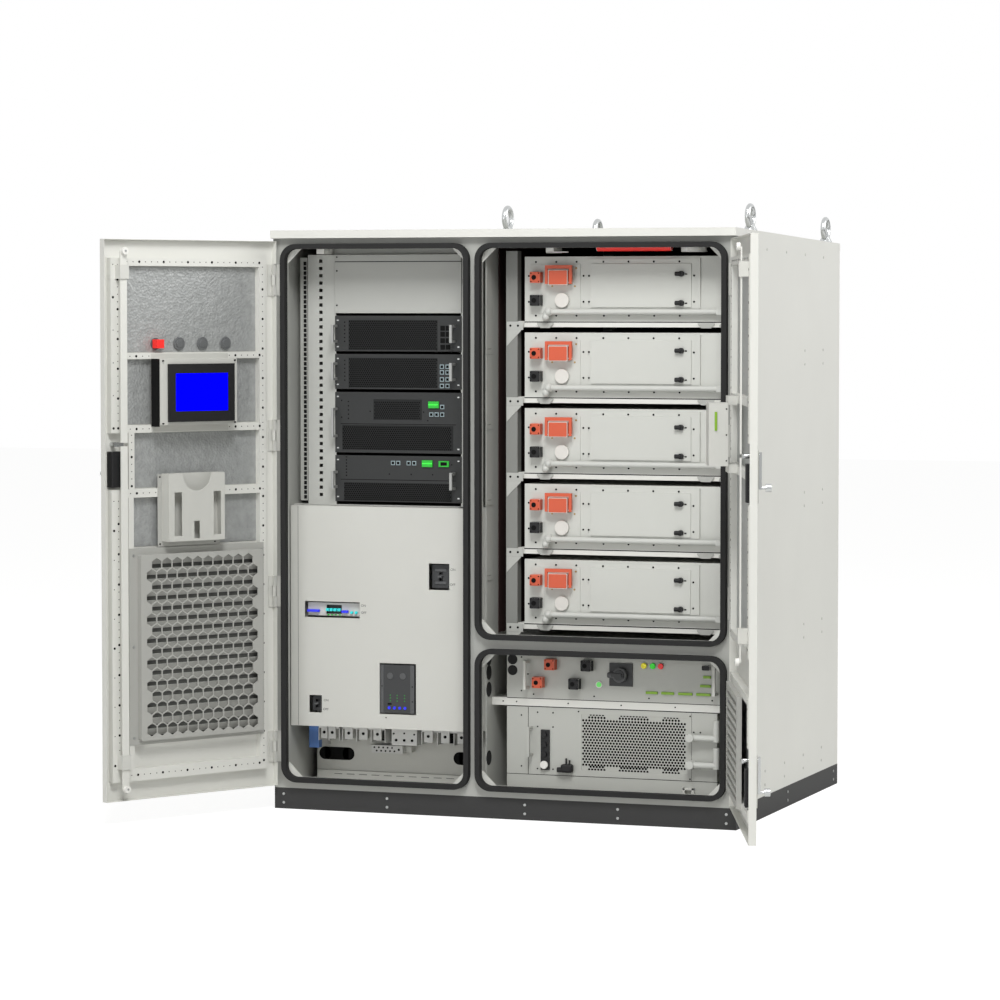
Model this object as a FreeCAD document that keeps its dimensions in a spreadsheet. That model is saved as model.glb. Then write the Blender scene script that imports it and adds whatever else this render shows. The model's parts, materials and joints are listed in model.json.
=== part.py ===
import FreeCAD, Part
import Sketcher
import math
import os
import re

# Outdoor battery cabinet with two doors, drawn with both doors open.
# Frame: X to the right, Y to the back, Z up, origin at the bottom centre of the plinth, millimetres.

SIZES = {
    # cabinet body
    "cab_width": 1710, "cab_depth": 1360, "plinth_height": 75, "plinth_wall": 5, "body_top": 2026,
    "sheet": 3, "lip_depth": 10, "anchor_reach": 120, "anchor_bore": 18, "anchor_inset": 70,
    "mouth_radius": 40, "mouth_bottom": 116, "mouth_top": 1989, "rail_bottom": 578, "rail_top": 646,
    "seal_width": 18, "seal_proud": 27, "side_gap": 23, "partition_start": 30, "deck_level": 617,
    "ceiling_level": 2012,
    # roof
    "entry_inset": 120, "entry_front": 300, "entry_back": 450, "roof_height": 28,
    "roof_overhang": 27, "roof_back": 5, "roof_slope": 0.0242, "roof_wall": 2, "eye_front": 230,
    "eye_ring": 35, "eye_bar": 10, "eye_collar": 25, "eye_collar_height": 14,
    # doors
    "door_bottom": 85, "door_top": 2017, "door_skin": 1.5, "door_outer": -13, "door_rim": 12,
    "door_edge": 2, "left_door_width": 740, "axis_front": 16, "left_open": 119.2, "right_open": 110,
    "lining": 3, "pin_radius": 3, "knuckle_radius": 5.5, "hinge_height": 110, "hinge_gap": 0.5,
    "knuckle_middle": 36, "pin_clearance": 0.05, "hinge_arm": 7, "hinge_leaf": 32, "hinge_low": 223,
    "hinge_second": 776, "hinge_third": 1330, "hinge_top": 1880,
    # stiffening frames on the doors
    "frame_start": 48, "frame_face": 13, "strip": 27, "free_strip": 38, "frame_bottom": 151,
    "frame_top": 1953, "foot_strip": 43, "strip_a_bottom": 1130, "strip_a_top": 1160,
    "strip_b_bottom": 1353, "strip_b_top": 1379, "strip_c_bottom": 1606, "strip_c_top": 1627,
    "post_from_end": 96, "post_band": 24, "filter_bar": 22, "frame_clear": 27,
    # rod locks
    "lock_spindle": 8, "lock_reach": 19.5, "rod_width": 27, "rod_near": 33, "rod_thick": 5,
    "rod_gap": 0.5, "roller_radius": 12, "roller_thick": 12, "roller_top": 1976,
    "roller_bottom": 130, "roller_middle": 660, "rod_throw": 18, "lock_level": 1315,
    "low_lock_level": 348, "cam_reach": 20, "cam_half": 7, "cam_thick": 6, "cam_near": 26,
    "plate_width": 24, "plate_below": 150, "plate_above": 18, "plate_thick": 7, "lever_gap": 1,
    "lever_thick": 9, "knob_below": 106, "knob_radius": 13, "knob_stem": 5, "knob_reach": 48,
    "tub_below": 147, "tub_top_gap": 25, "tub_depth": 20, "guide_high": 1881, "guide_low": 198,
    "guide_height": 48, "guide_mid": 720, "guide_wall": 5, "tub_half": 20, "tub_room": 8,
    "tub_above": 40,
    # filter grille
    "grille_start": 61, "grille_from_end": 70, "grille_bottom": 275, "grille_top": 955, "flange": 2,
    "box_start": 80, "box_from_end": 105, "box_bottom": 290, "box_top": 933, "grille_face": 36,
    "grille_thick": 3, "hex_flats": 40, "hex_pitch": 44, "hex_rows": 16,
    "hex_first_column": 123, "hex_first_row": 326, "grille_wall": 2, "mat_thick": 16,
    # document pocket
    "pocket_start": 262, "pocket_end": 502, "pocket_bottom": 975, "pocket_top": 1210,
    "pocket_face": 56, "pocket_wall": 2, "pocket_notch": 61, "pocket_slot": 32,
    # display
    "bracket_start": 215, "bracket_end": 545, "bracket_bottom": 1356, "bracket_top": 1624,
    "bracket_face": 66, "bracket_wall": 2, "display_start": 231, "display_end": 513,
    "display_bottom": 1389, "display_top": 1589, "display_face": 75, "screen_start": 259,
    "screen_end": 484, "screen_bottom": 1425, "screen_top": 1557, "screen_deep": 2,
    # pilot row
    "pilot_first": 212, "pilot_pitch": 100, "pilot_level": 1658, "pilot_radius": 20,
    "pilot_reach": -3, "lens_radius": 15, "lens_reach": 7, "stop_place": 512, "stop_radius": 20,
    "stop_height": 12, "stop_stem": 8, "stop_travel": 5, "stop_gap": 1, "contact_half": 15,
    "contact_depth": 27,
    # right door items
    "control_start": 250, "control_end": 400, "control_bottom": 1262, "control_top": 1469,
    "control_near": 44, "control_face": 108, "right_filter_bottom": 160, "right_filter_top": 525,
    "right_filter_start": 120, "right_filter_short": 272, "right_filter_face": 30,
    # equipment rack on the left
    "rack_face": 126, "rack_plate": 3, "rack_inset": 16, "module_depth": 520, "hole_height": 12,
    "hole_pitch": 26, "hole_first": 1110, "hole_count": 33, "post_depth": 540, "post_top": 1970,
    "rack_shelf_gap": 4, "duct_face": 130, "duct_depth": 60, "duct_wall": 2, "duct_bottom": 1094,
    "duct_top": 1960, "m1_bottom": 1628, "m1_top": 1754, "m2_bottom": 1494, "m2_top": 1618,
    "m3_bottom": 1268, "m3_top": 1483, "m4_bottom": 1094, "m4_top": 1258, "blank_bottom": 1763,
    "blank_top": 1970, "mesh_deep": 2, "grip_bar": 9, "grip_reach": 32, "grip_inset": 31,
    # distribution section
    "cover_face": 80, "cover_bottom": 290, "cover_top": 1078, "cover_sheet": 2, "window_gap": 5,
    "plate_face": 264, "plate_bottom": 112, "plate_top": 1060, "breaker_face": 100,
    "grid_bottom": 794, "grid_top": 877, "din_bottom": 685, "din_top": 732, "load_bottom": 344,
    "load_top": 396, "transfer_bottom": 348, "transfer_top": 519, "transfer_face": 76,
    "toggle_width": 14, "toggle_height": 22, "toggle_reach": 15, "toggle_radius": 6,
    "toggle_gap": 0.3, "lug_face": 140, "lug_thick": 6, "lug_bottom": 240, "lug_top": 300,
    "carrier_height": 24, "barrier_gap": 12, "barrier_thick": 3, "barrier_bottom": 232,
    "surge_bottom": 204, "neutral_bottom": 226, "earth_face": 200, "earth_bottom": 188,
    "earth_top": 216,
    # battery rack on the right
    "bay_post_face": 100, "bay_post_depth": 40, "pack_face": 112, "pack_height": 224,
    "pack_top": 1960, "pack_pitch": 264, "pack_count": 5, "shelf_height": 21, "shelf_sheet": 3,
    "shelf_side": 24, "shelf_lip": 6, "shelf_short": 20, "pack_cover_low": 1779,
    "pack_cover_high": 1952, "pack_cover_thick": 6, "socket_half": 19, "socket_reach": 32,
    "orange_level": 1888, "black_level": 1808, "plug_bottom": 1861, "plug_top": 1914,
    "plug_face": 76, "plug_pivot": 86, "plug_axis": 1870, "plug_pin": 3, "arm_width": 10,
    "arm_depth": 10, "arm_rise": 60, "arm_gap": 3.5, "bar_thick": 12, "valve_radius": 25,
    "valve_reach": 8, "pipe_radius": 10, "pipe_face": 94, "pipe_level": 1768,
    # high voltage box and chiller
    "low_face": 90, "hv_bottom": 417, "hv_top": 574, "rail_low": 390, "chiller_bottom": 149,
    "chiller_top": 388, "chiller_grip_low": 216, "chiller_grip_high": 319, "apron_depth": 40,
    "skid_place": 300, "rotary_bottom": 471, "rotary_top": 551, "rotary_radius": 18,
    "rotary_reach": 26, "rotary_plate": 4, "lever_half": 6, "lever_long": 26, "lever_short": 12,
    "lever_proud": 8, "button_level": 474, "button_radius": 9, "button_travel": 2.5,
    "plug_proud": 6, "handle_bottom": 451, "handle_top": 551, "lamp_radius": 9, "lamp_reach": 8,
    "lamp_level": 545, "chill_mesh_bottom": 173, "chill_mesh_top": 368, "hose_radius": 11,
    "hose_upper": 303, "hose_lower": 209, "hose_rise": 62, "hose_face": 66,
    # ceiling fittings
    "lamp_drop": 40, "lamp_depth": 90, "aerosol_radius": 14, "sensor_radius": 45, "sensor_drop": 38,
    # places tied to the sides of the cabinet
    "mouth_inset": 54, "left_mouth_width": 672, "mouth_divide": 60, "right_mouth_inset": 51.5,
    "axis_inset": 9, "doors_gap": 18, "frame_short_left": 28, "frame_short_right": 40,
    "rod_from_left": 36.5, "rod_from_right": 42, "eye_shift": 11, "eye_inset": 23, "eye_rear": 120,
    "rack_shift": 130, "rack_width": 480, "post_beside": 105, "post_behind": 3, "post_outside": 51,
    "hole_width": 13, "hole_inset": 49, "duct_width": 27, "cover_clear": 7, "cover_short": 29,
    "plate_clear": 1, "plate_past": 10, "grid_width": 67, "grid_inset": 67, "din_inset": 59,
    "din_width": 201, "load_inset": 76, "load_width": 38, "transfer_width": 128,
    "transfer_inset": 193, "bay_shift": 51, "bay_post_width": 42, "bay_side_width": 29,
    "bay_clear": 3, "pack_shift": 23, "pack_clear": 3, "pack_short": 230, "cover_shift": 239,
    "cover_inset": 107, "socket_shift": 48, "plug_shift": 98, "plug_width": 71, "valve_shift": 140,
    "pipe_shift": 95, "pipe_inset": 33, "hv_shift": 58, "hv_clear": 55, "hv_short": 460,
    "chiller_inset": 17, "chiller_short": 360, "rotary_shift": 379, "rotary_width": 84,
    "button_shift": 341, "chiller_grip_shift": 87, "chill_mesh_width": 385, "chill_mesh_inset": 107,
    "hose_shift": 93, "hose_past": 4, "lamp_shift": 101, "lamp_shift_right": 229,
    "aerosol_length": 270, "aerosol_inset": 265, "sensor_inset": 188, "surge_shift": 17,
    "surge_width": 37, "neutral_width": 96, "neutral_inset": 208, "earth_width": 119,
    "earth_inset": 286,
}

DERIVED = {
    "front": "-cab_depth / 2",
    "back": "cab_depth / 2",
    "side": "cab_width / 2",
    "deck": "plinth_height + sheet",
    "wall_left": "-side + side_gap",
    "wall_right": "side - side_gap",
    "pin_front": "front - axis_front",
    "knuckle_bore": "pin_radius + pin_clearance",
    "ring_left_start": "left_mouth_start - seal_width",
    "rod_far": "rod_near + rod_thick",
    "skin_inner": "door_outer + door_skin",
    "lining_face": "skin_inner + lining",
    "upper_frame_bottom": "rail_top + frame_clear",
    "lower_frame_top": "rail_bottom - frame_clear",
    "rack_floor": "cover_top + rack_shelf_gap",
    "left_lock": "left_rod + lock_reach",
    "right_lock": "right_rod + lock_reach",
    "plate_outer": "door_outer - plate_thick",
    "lever_inner": "plate_outer - lever_gap",
    "lever_outer": "lever_inner - lever_thick",
    "flange_face": "frame_face + flange",
    "rack_back": "front + rack_face + rack_plate",
    "cover_back": "front + cover_face + cover_sheet",
    "pack_front": "front + pack_face",
    "low_front": "front + low_face",
    "left_mouth_start": "-side + mouth_inset",
    "left_mouth_end": "left_mouth_start + left_mouth_width",
    "right_mouth_start": "left_mouth_end + mouth_divide",
    "right_mouth_end": "side - right_mouth_inset",
    "partition_place": "right_mouth_start + sheet",
    "axis_side": "side - axis_inset",
    "right_door_width": "cab_width - left_door_width - doors_gap",
    "left_frame_end": "left_door_width - frame_short_left",
    "right_frame_end": "right_door_width - frame_short_right",
    "left_rod": "left_frame_end - rod_from_left",
    "post_start": "left_frame_end - post_from_end",
    "post_end": "post_start + post_band",
    "grille_end": "left_frame_end - grille_from_end",
    "box_end": "left_frame_end - box_from_end",
    "right_filter_end": "right_frame_end - right_filter_short",
    "right_rod": "right_frame_end - rod_from_right",
    "eye_left": "partition_place + eye_shift",
    "eye_right": "side - eye_inset",
    "eye_back": "cab_depth - eye_rear",
    "rack_left": "left_mouth_start + rack_shift",
    "rack_right": "rack_left + rack_width",
    "post_left": "rack_left - post_beside",
    "post_left_end": "rack_left + post_behind",
    "post_right": "rack_right + post_outside",
    "post_right_end": "rack_right - post_behind",
    "hole_left": "hole_right - hole_width",
    "hole_right": "rack_left - hole_inset",
    "duct_left": "duct_right - duct_width",
    "duct_right": "post_left - sheet",
    "cover_left": "wall_left + cover_clear",
    "cover_right": "left_mouth_end - cover_short",
    "plate_left": "left_mouth_start + plate_clear",
    "plate_right": "cover_right + plate_past",
    "grid_left": "grid_right - grid_width",
    "grid_right": "cover_right - grid_inset",
    "din_left": "cover_left + din_inset",
    "din_right": "din_left + din_width",
    "load_left": "cover_left + load_inset",
    "load_right": "load_left + load_width",
    "transfer_left": "transfer_right - transfer_width",
    "transfer_right": "cover_right - transfer_inset",
    "bay_post_left": "partition_place + bay_shift",
    "bay_post_right": "bay_post_left + bay_post_width",
    "bay_side_post": "bay_side_end - bay_side_width",
    "bay_side_end": "wall_right - bay_clear",
    "pack_left": "bay_post_right + pack_shift",
    "pack_right": "bay_side_post - pack_clear",
    "pack_depth": "cab_depth - pack_short",
    "cover_start": "pack_left + cover_shift",
    "cover_end": "pack_right - cover_inset",
    "socket_place": "pack_left + socket_shift",
    "plug_left": "pack_left + plug_shift",
    "plug_right": "plug_left + plug_width",
    "valve_place": "pack_left + valve_shift",
    "pipe_left": "pack_left + pipe_shift",
    "pipe_right": "pack_right - pipe_inset",
    "hv_left": "partition_place + hv_shift",
    "hv_right": "wall_right - hv_clear",
    "hv_depth": "cab_depth - hv_short",
    "chiller_right": "hv_right - chiller_inset",
    "chiller_depth": "cab_depth - chiller_short",
    "rotary_left": "hv_left + rotary_shift",
    "rotary_right": "rotary_left + rotary_width",
    "button_place": "hv_left + button_shift",
    "chiller_grip": "hv_left + chiller_grip_shift",
    "chill_mesh_left": "chill_mesh_right - chill_mesh_width",
    "chill_mesh_right": "chiller_right - chill_mesh_inset",
    "hose_left": "chiller_right - hose_shift",
    "hose_turn": "chiller_right + hose_past",
    "lamp_left_place": "left_mouth_start + lamp_shift",
    "lamp_right_place": "right_mouth_start + lamp_shift_right",
    "aerosol_left": "aerosol_right - aerosol_length",
    "aerosol_right": "side - aerosol_inset",
    "sensor_place": "side - sensor_inset",
    "surge_left": "left_mouth_start + surge_shift",
    "surge_right": "surge_left + surge_width",
    "neutral_left": "neutral_right - neutral_width",
    "neutral_right": "cover_right - neutral_inset",
    "earth_left": "earth_right - earth_width",
    "earth_right": "cover_right - earth_inset",
}

doc = FreeCAD.newDocument("battery_cabinet")
sheet = doc.addObject("Spreadsheet::Sheet", "Sizes")
for row, (word, amount) in enumerate(SIZES.items(), start=1):
    sheet.set(f"A{row}", word)
    sheet.set(f"B{row}", str(amount))
    sheet.setAlias(f"B{row}", word)
doc.recompute()

NODES = []


def rule(text):
    """Turn words of the sheet and derived words into one expression."""
    def swap(found):
        word = found.group(0)
        if word in DERIVED:
            return "(" + rule(DERIVED[word]) + ")"
        if word in SIZES:
            return "Sizes." + word
        return word
    return re.sub(r"[a-z_][a-z_0-9]*", swap, str(text))


def bind(item, **rules):
    for place, text in rules.items():
        item.setExpression(place.replace("__", "."), rule(text))
    return item


def block(x, y, z):
    """A block between pairs of places along X, Y and Z."""
    item = doc.addObject("Part::Box", "Block")
    bind(item, Length=f"({x[1]}) - ({x[0]})", Width=f"({y[1]}) - ({y[0]})",
         Height=f"({z[1]}) - ({z[0]})", Placement__Base__x=x[0], Placement__Base__y=y[0],
         Placement__Base__z=z[0])
    return item


def wedge(x, y, low, high, high_back):
    """A block whose top falls from high at the front to high_back at the back."""
    item = doc.addObject("Part::Wedge", "Wedge")
    bind(item, Xmin=x[0], Xmax=x[1], X2min=x[0], X2max=x[1], Ymin=y[0], Ymax=y[1],
         Zmin=low[0], Z2min=low[1], Zmax=high, Z2max=high_back)
    return item


def tube(axis, centre, radius, span, bore=None):
    """A round bar along axis x, y or z, hollow when a bore is given."""
    turns = {"x": FreeCAD.Rotation(FreeCAD.Vector(0, 1, 0), 90),
             "y": FreeCAD.Rotation(FreeCAD.Vector(1, 0, 0), -90), "z": FreeCAD.Rotation()}
    places = dict(zip([a for a in "xyz" if a != axis], centre))
    places[axis] = span[0]
    item = doc.addObject("Part::Cylinder", "Round")
    item.Placement = FreeCAD.Placement(FreeCAD.Vector(), turns[axis])
    bind(item, Radius=radius, Height=f"({span[1]}) - ({span[0]})", Placement__Base__x=places["x"],
         Placement__Base__y=places["y"], Placement__Base__z=places["z"])
    if bore is None:
        return item
    return cut(item, [tube(axis, centre, bore, span)])


def cut(base, tools):
    tool = tools[0] if len(tools) == 1 else joined(tools)
    item = doc.addObject("Part::Cut", "Trimmed")
    item.Base = base
    item.Tool = tool
    return item


def joined(pieces):
    """One solid made of pieces that touch or overlap."""
    item = doc.addObject("Part::MultiFuse", "Joined")
    item.Shapes = pieces
    return item


def grouped(pieces):
    """Separate solids kept together in one sub-part."""
    item = doc.addObject("Part::Compound", "Grouped")
    item.Links = pieces
    return item


def node(name, item, door=None):
    """Name a sub-part, and hang it on its door when it belongs to one."""
    if item.TypeId in ("Part::Box", "Part::Wedge", "Part::Cylinder") and door:
        item = grouped([item])
    item.Label = name
    if door:
        sign, turn = ("-", "-left_open") if door == "left" else ("", "right_open")
        item.setExpression("Placement", rule(
            f"placement(vector({sign}axis_side; pin_front; 0); rotation(vector(0; 0; 1); {turn}))"))
    NODES.append(item)
    return item


def on_door(door, reach, depth, level):
    """A block on a door: reach from the hinge axis, depth inwards from the axis, level."""
    if door == "right":
        reach = (f"-({reach[1]})", f"-({reach[0]})")
    return block(reach, depth, level)


def round_on_door(door, reach, level, radius, depth, bore=None):
    place = f"-({reach})" if door == "right" else reach
    return tube("y", (place, level), radius, depth, bore)


def window_sketch(body, name, windows):
    """Rounded rectangles on the XZ plane, each side and radius bound to the sheet."""
    sketch = body.newObject("Sketcher::SketchObject", name)
    plane = [f for f in body.Origin.OriginFeatures if f.Role == "XZ_Plane"][0]
    sketch.AttachmentSupport = [(plane, "")]
    sketch.MapMode = "FlatFace"
    for number, (left, right, low, high, radius) in enumerate(windows):
        add_window(sketch, f"{name}{number}", left, right, low, high, radius)
    return sketch


def add_window(sketch, tag, left, right, low, high, radius):
    """Four straight sides and, where a radius is given, four arcs tangent to them."""
    first = sketch.GeometryCount
    corner = [(-100, -100), (100, -100), (100, 100), (-100, 100)]
    start = 20 if radius else 0
    for number in range(4):
        ax, az = corner[number]
        bx, bz = corner[(number + 1) % 4]
        dx, dz = (bx > ax) - (bx < ax), (bz > az) - (bz < az)
        sketch.addGeometry(Part.LineSegment(
            FreeCAD.Vector(ax + start * dx, az + start * dz, 0),
            FreeCAD.Vector(bx - start * dx, bz - start * dz, 0)), False)
    if radius:
        for number in range(4):
            cx, cz = corner[number]
            centre = FreeCAD.Vector(cx - math.copysign(start, cx), cz - math.copysign(start, cz), 0)
            turn = math.pi + number * math.pi / 2
            circle = Part.Circle(centre, FreeCAD.Vector(0, 0, 1), start)
            sketch.addGeometry(Part.ArcOfCircle(circle, turn, turn + math.pi / 2), False)
        for number in range(4):
            arc = first + 4 + number
            sketch.addConstraint(Sketcher.Constraint("Tangent", first + (number - 1) % 4, 2, arc, 1))
            sketch.addConstraint(Sketcher.Constraint("Tangent", arc, 2, first + number, 1))
        for number in range(1, 4):
            sketch.addConstraint(Sketcher.Constraint("Equal", first + 4, first + 4 + number))
        index = sketch.addConstraint(Sketcher.Constraint("Radius", first + 4, start))
        sketch.renameConstraint(index, tag + "_radius")
        sketch.setExpression(f"Constraints.{tag}_radius", rule(radius))
    else:
        for number in range(4):
            sketch.addConstraint(Sketcher.Constraint(
                "Coincident", first + number, 2, first + (number + 1) % 4, 1))
    for number, kind in enumerate(("Horizontal", "Vertical", "Horizontal", "Vertical")):
        sketch.addConstraint(Sketcher.Constraint(kind, first + number))
    sides = (("left", "DistanceX", first + 3, left, -100), ("right", "DistanceX", first + 1, right, 100),
             ("low", "DistanceY", first, low, -100), ("high", "DistanceY", first + 2, high, 100))
    for word, kind, line, text, guess in sides:
        index = sketch.addConstraint(Sketcher.Constraint(kind, -1, 1, line, 1, guess))
        sketch.renameConstraint(index, f"{tag}_{word}")
        sketch.setExpression(f"Constraints.{tag}_{word}", rule(text))


def padded_plate(name, windows_by_depth, y_place):
    """A body of rings and plates in the XZ plane; each entry is (windows, thickness)."""
    body = doc.addObject("PartDesign::Body", name)
    for number, (windows, depth) in enumerate(windows_by_depth):
        sketch = window_sketch(body, f"{name}_outline{number}", windows)
        pad = body.newObject("PartDesign::Pad", f"{name}_pad{number}")
        pad.Profile = sketch
        pad.Reversed = True
        pad.setExpression("Length", rule(depth))
    body.setExpression("Placement.Base.y", rule(y_place))
    return body


# Body of the cabinet

def build_plinth():
    outer = block(("-side", "side"), ("front", "back"), (0, "plinth_height"))
    hollow = block(("-side + plinth_wall", "side - plinth_wall"),
                   ("front + plinth_wall", "back - plinth_wall"), (-1, "plinth_height + 1"))
    frame = cut(outer, [hollow])
    feet = []
    for x_sign in ("-", ""):
        for y_sign in ("-", ""):
            x_far, y_far = f"{x_sign}(side - plinth_wall / 2)", f"{y_sign}(back - plinth_wall / 2)"
            x_near, y_near = f"{x_sign}(side - anchor_reach)", f"{y_sign}(back - anchor_reach)"
            x_span = (x_far, x_near) if x_sign else (x_near, x_far)
            y_span = (y_far, y_near) if y_sign else (y_near, y_far)
            foot = block(x_span, y_span, (0, "plinth_wall"))
            centre = (f"{x_sign}(side - anchor_inset)", f"{y_sign}(back - anchor_inset)")
            feet.append(cut(foot, [tube("z", centre, "anchor_bore / 2", (-1, "plinth_wall + 1"))]))
    node("plinth", joined([frame] + feet))


def build_floor():
    pan = block(("-side + sheet", "side - sheet"), ("front + sheet", "back - sheet"),
                ("plinth_height", "deck"))
    entry = block(("left_mouth_start + entry_inset", "left_mouth_end - entry_inset"),
                  ("front + entry_front", "front + entry_back"),
                  ("plinth_height - 1", "deck + 1"))
    node("floor_pan", cut(pan, [entry]))


MOUTHS = (("left_mouth_start", "left_mouth_end", "mouth_bottom", "mouth_top"),
          ("right_mouth_start", "right_mouth_end", "rail_top", "mouth_top"),
          ("right_mouth_start", "right_mouth_end", "mouth_bottom", "rail_bottom"))


def grown(mouth, amount, radius):
    left, right, low, high = mouth
    return (f"{left} - {amount}", f"{right} + {amount}", f"{low} - {amount}", f"{high} + {amount}",
            radius)


def corner_gusset(x_edge, x_sign, z_edge, z_sign):
    """A plate that fills a mouth's corner up to its rounding."""
    x_far, z_far = f"{x_edge} {x_sign} mouth_radius", f"{z_edge} {z_sign} mouth_radius"
    x_span = (x_edge, x_far) if x_sign == "+" else (x_far, x_edge)
    z_span = (z_edge, z_far) if z_sign == "+" else (z_far, z_edge)
    plate = block(x_span, ("front", "front + sheet"), z_span)
    return cut(plate, [tube("y", (x_far, z_far), "mouth_radius", ("front - 1", "front + sheet + 1"))])


def build_front_frame():
    """Stiles and rails of flat sheet, gussets in the corners and lips folded inwards."""
    depth = ("front", "front + sheet")
    upright = ("plinth_height", "body_top")
    solids = [block(span, depth, upright) for span in (
        ("-side", "left_mouth_start"), ("left_mouth_end", "right_mouth_start"), ("right_mouth_end",
                                                                                 "side"))]
    lip_span = ("front + sheet", "front + sheet + lip_depth")
    for left, right, low, high in MOUTHS:
        below = "plinth_height" if low == "mouth_bottom" else "rail_bottom"
        solids.append(block((left, right), depth, (below, low)))
        if high == "mouth_top":
            solids.append(block((left, right), depth, (high, "body_top")))
        for x_edge, x_sign in ((left, "+"), (right, "-")):
            for z_edge, z_sign in ((low, "+"), (high, "-")):
                solids.append(corner_gusset(x_edge, x_sign, z_edge, z_sign))
        tall = (f"{low} + mouth_radius", f"{high} - mouth_radius")
        wide = (f"{left} + mouth_radius", f"{right} - mouth_radius")
        solids.append(block((f"{left} - sheet", left), lip_span, tall))
        solids.append(block((right, f"{right} + sheet"), lip_span, tall))
        solids.append(block(wide, lip_span, (f"{low} - sheet", low)))
        solids.append(block(wide, lip_span, (high, f"{high} + sheet")))
    node("front_frame", grouped(solids))


def build_seals():
    rings = []
    for number, mouth in enumerate(MOUTHS):
        outline = [grown(mouth, 0, "mouth_radius"), grown(mouth, "seal_width", "mouth_radius + seal_width")]
        ring_body = padded_plate(f"seal{number}", [(outline, "seal_proud")], "front - seal_proud")
        rings.append(ring_body)
    node("door_seals", grouped(rings))


def build_side_panels():
    """Two flat panels whose tops follow the fall of the roof."""
    panels = [wedge(x_span, ("front + sheet", "back"), ("plinth_height", "plinth_height"), "body_top",
                    "body_top - (cab_depth - sheet) * roof_slope")
              for x_span in (("-side", "-side + sheet"), ("side - sheet", "side"))]
    node("side_panels", grouped(panels))


def build_rear_panel():
    node("rear_panel", block(("-side + sheet", "side - sheet"), ("back - sheet", "back"),
                             ("deck", "body_top - (cab_depth - sheet) * roof_slope")))


def build_inner_walls():
    depth = ("front + partition_start", "back - side_gap")
    height = ("deck", "ceiling_level")
    left = block(("wall_left - sheet", "wall_left"), depth, height)
    right = block(("wall_right", "wall_right + sheet"), depth, height)
    rear = block(("wall_left - sheet", "wall_right + sheet"), ("back - side_gap",
                                                               "back - side_gap + sheet"),
                 height)
    ceiling = block(("wall_left - sheet", "wall_right + sheet"), ("front + sheet",
                                                                  "back - side_gap + sheet"),
                    ("ceiling_level", "ceiling_level + sheet"))
    partition = block(("partition_place", "partition_place + sheet"), depth, height)
    deck = block(("partition_place + sheet", "wall_right"), ("front + sheet", "back - side_gap"),
                 ("deck_level", "deck_level + sheet"))
    node("inner_walls", grouped([left, right, rear, ceiling, partition, deck]))


def build_roof():
    """A sloping sheet with four skirts folded down from it."""
    length = "(cab_depth + roof_overhang + roof_back)"
    low = "body_top + (roof_overhang + sheet) * roof_slope"
    under = f"{low} + roof_height - roof_wall"
    first, last = "front - roof_overhang", "back + roof_back"

    def piece(x_span, start, end, floor, ceiling):
        """A part of the roof between distances start and end behind its front edge."""
        falls = [f"({place}) * roof_slope" for place in (start, end)]
        return wedge(x_span, (f"{first} + {start}", f"{first} + {end}"),
                     (f"{floor} - {falls[0]}", f"{floor} - {falls[1]}"),
                     f"{ceiling} - {falls[0]}", f"{ceiling} - {falls[1]}")

    sheet_top = piece(("-side", "side"), "0", length, under, f"{under} + roof_wall")
    skirts = [piece(x_span, "0", length, low, under)
              for x_span in (("-side", "-side + roof_wall"), ("side - roof_wall", "side"))]
    skirts += [piece(("-side + roof_wall", "side - roof_wall"), start, end, low, under)
               for start, end in (("0", "roof_wall"), (f"({length} - roof_wall)", length))]
    node("roof_cap", grouped([sheet_top] + skirts))


def roof_level(place):
    """Top of the roof at a distance behind the front plane."""
    return f"(body_top + roof_height - ({place} - sheet) * roof_slope)"


def build_lifting_eyes():
    eyes = []
    for x_place in ("eye_left", "eye_right"):
        for y_place in ("eye_front", "eye_back"):
            level = roof_level(y_place)
            centre = f"{level} + eye_collar_height + eye_ring"
            collar = tube("z", (x_place, f"front + {y_place}"), "eye_collar",
                          (f"{level} + eye_collar * roof_slope", f"{level} + eye_collar_height"))
            ring = tube("x", (f"front + {y_place}", centre), "eye_ring + eye_bar",
                        (f"{x_place} - eye_bar", f"{x_place} + eye_bar"), "eye_ring - eye_bar")
            eyes.append(joined([ring, collar]))
    node("lifting_eyes", grouped(eyes))


# Doors

HINGES = ("hinge_low", "hinge_second", "hinge_third", "hinge_top")


def hinge_span(level, low, high):
    return (f"{level} - hinge_height / 2 + {low}", f"{level} - hinge_height / 2 + {high}")


KNUCKLE_LOW = "(hinge_height - knuckle_middle) / 2 - hinge_gap"
KNUCKLE_HIGH = "(hinge_height + knuckle_middle) / 2 + hinge_gap"


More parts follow.
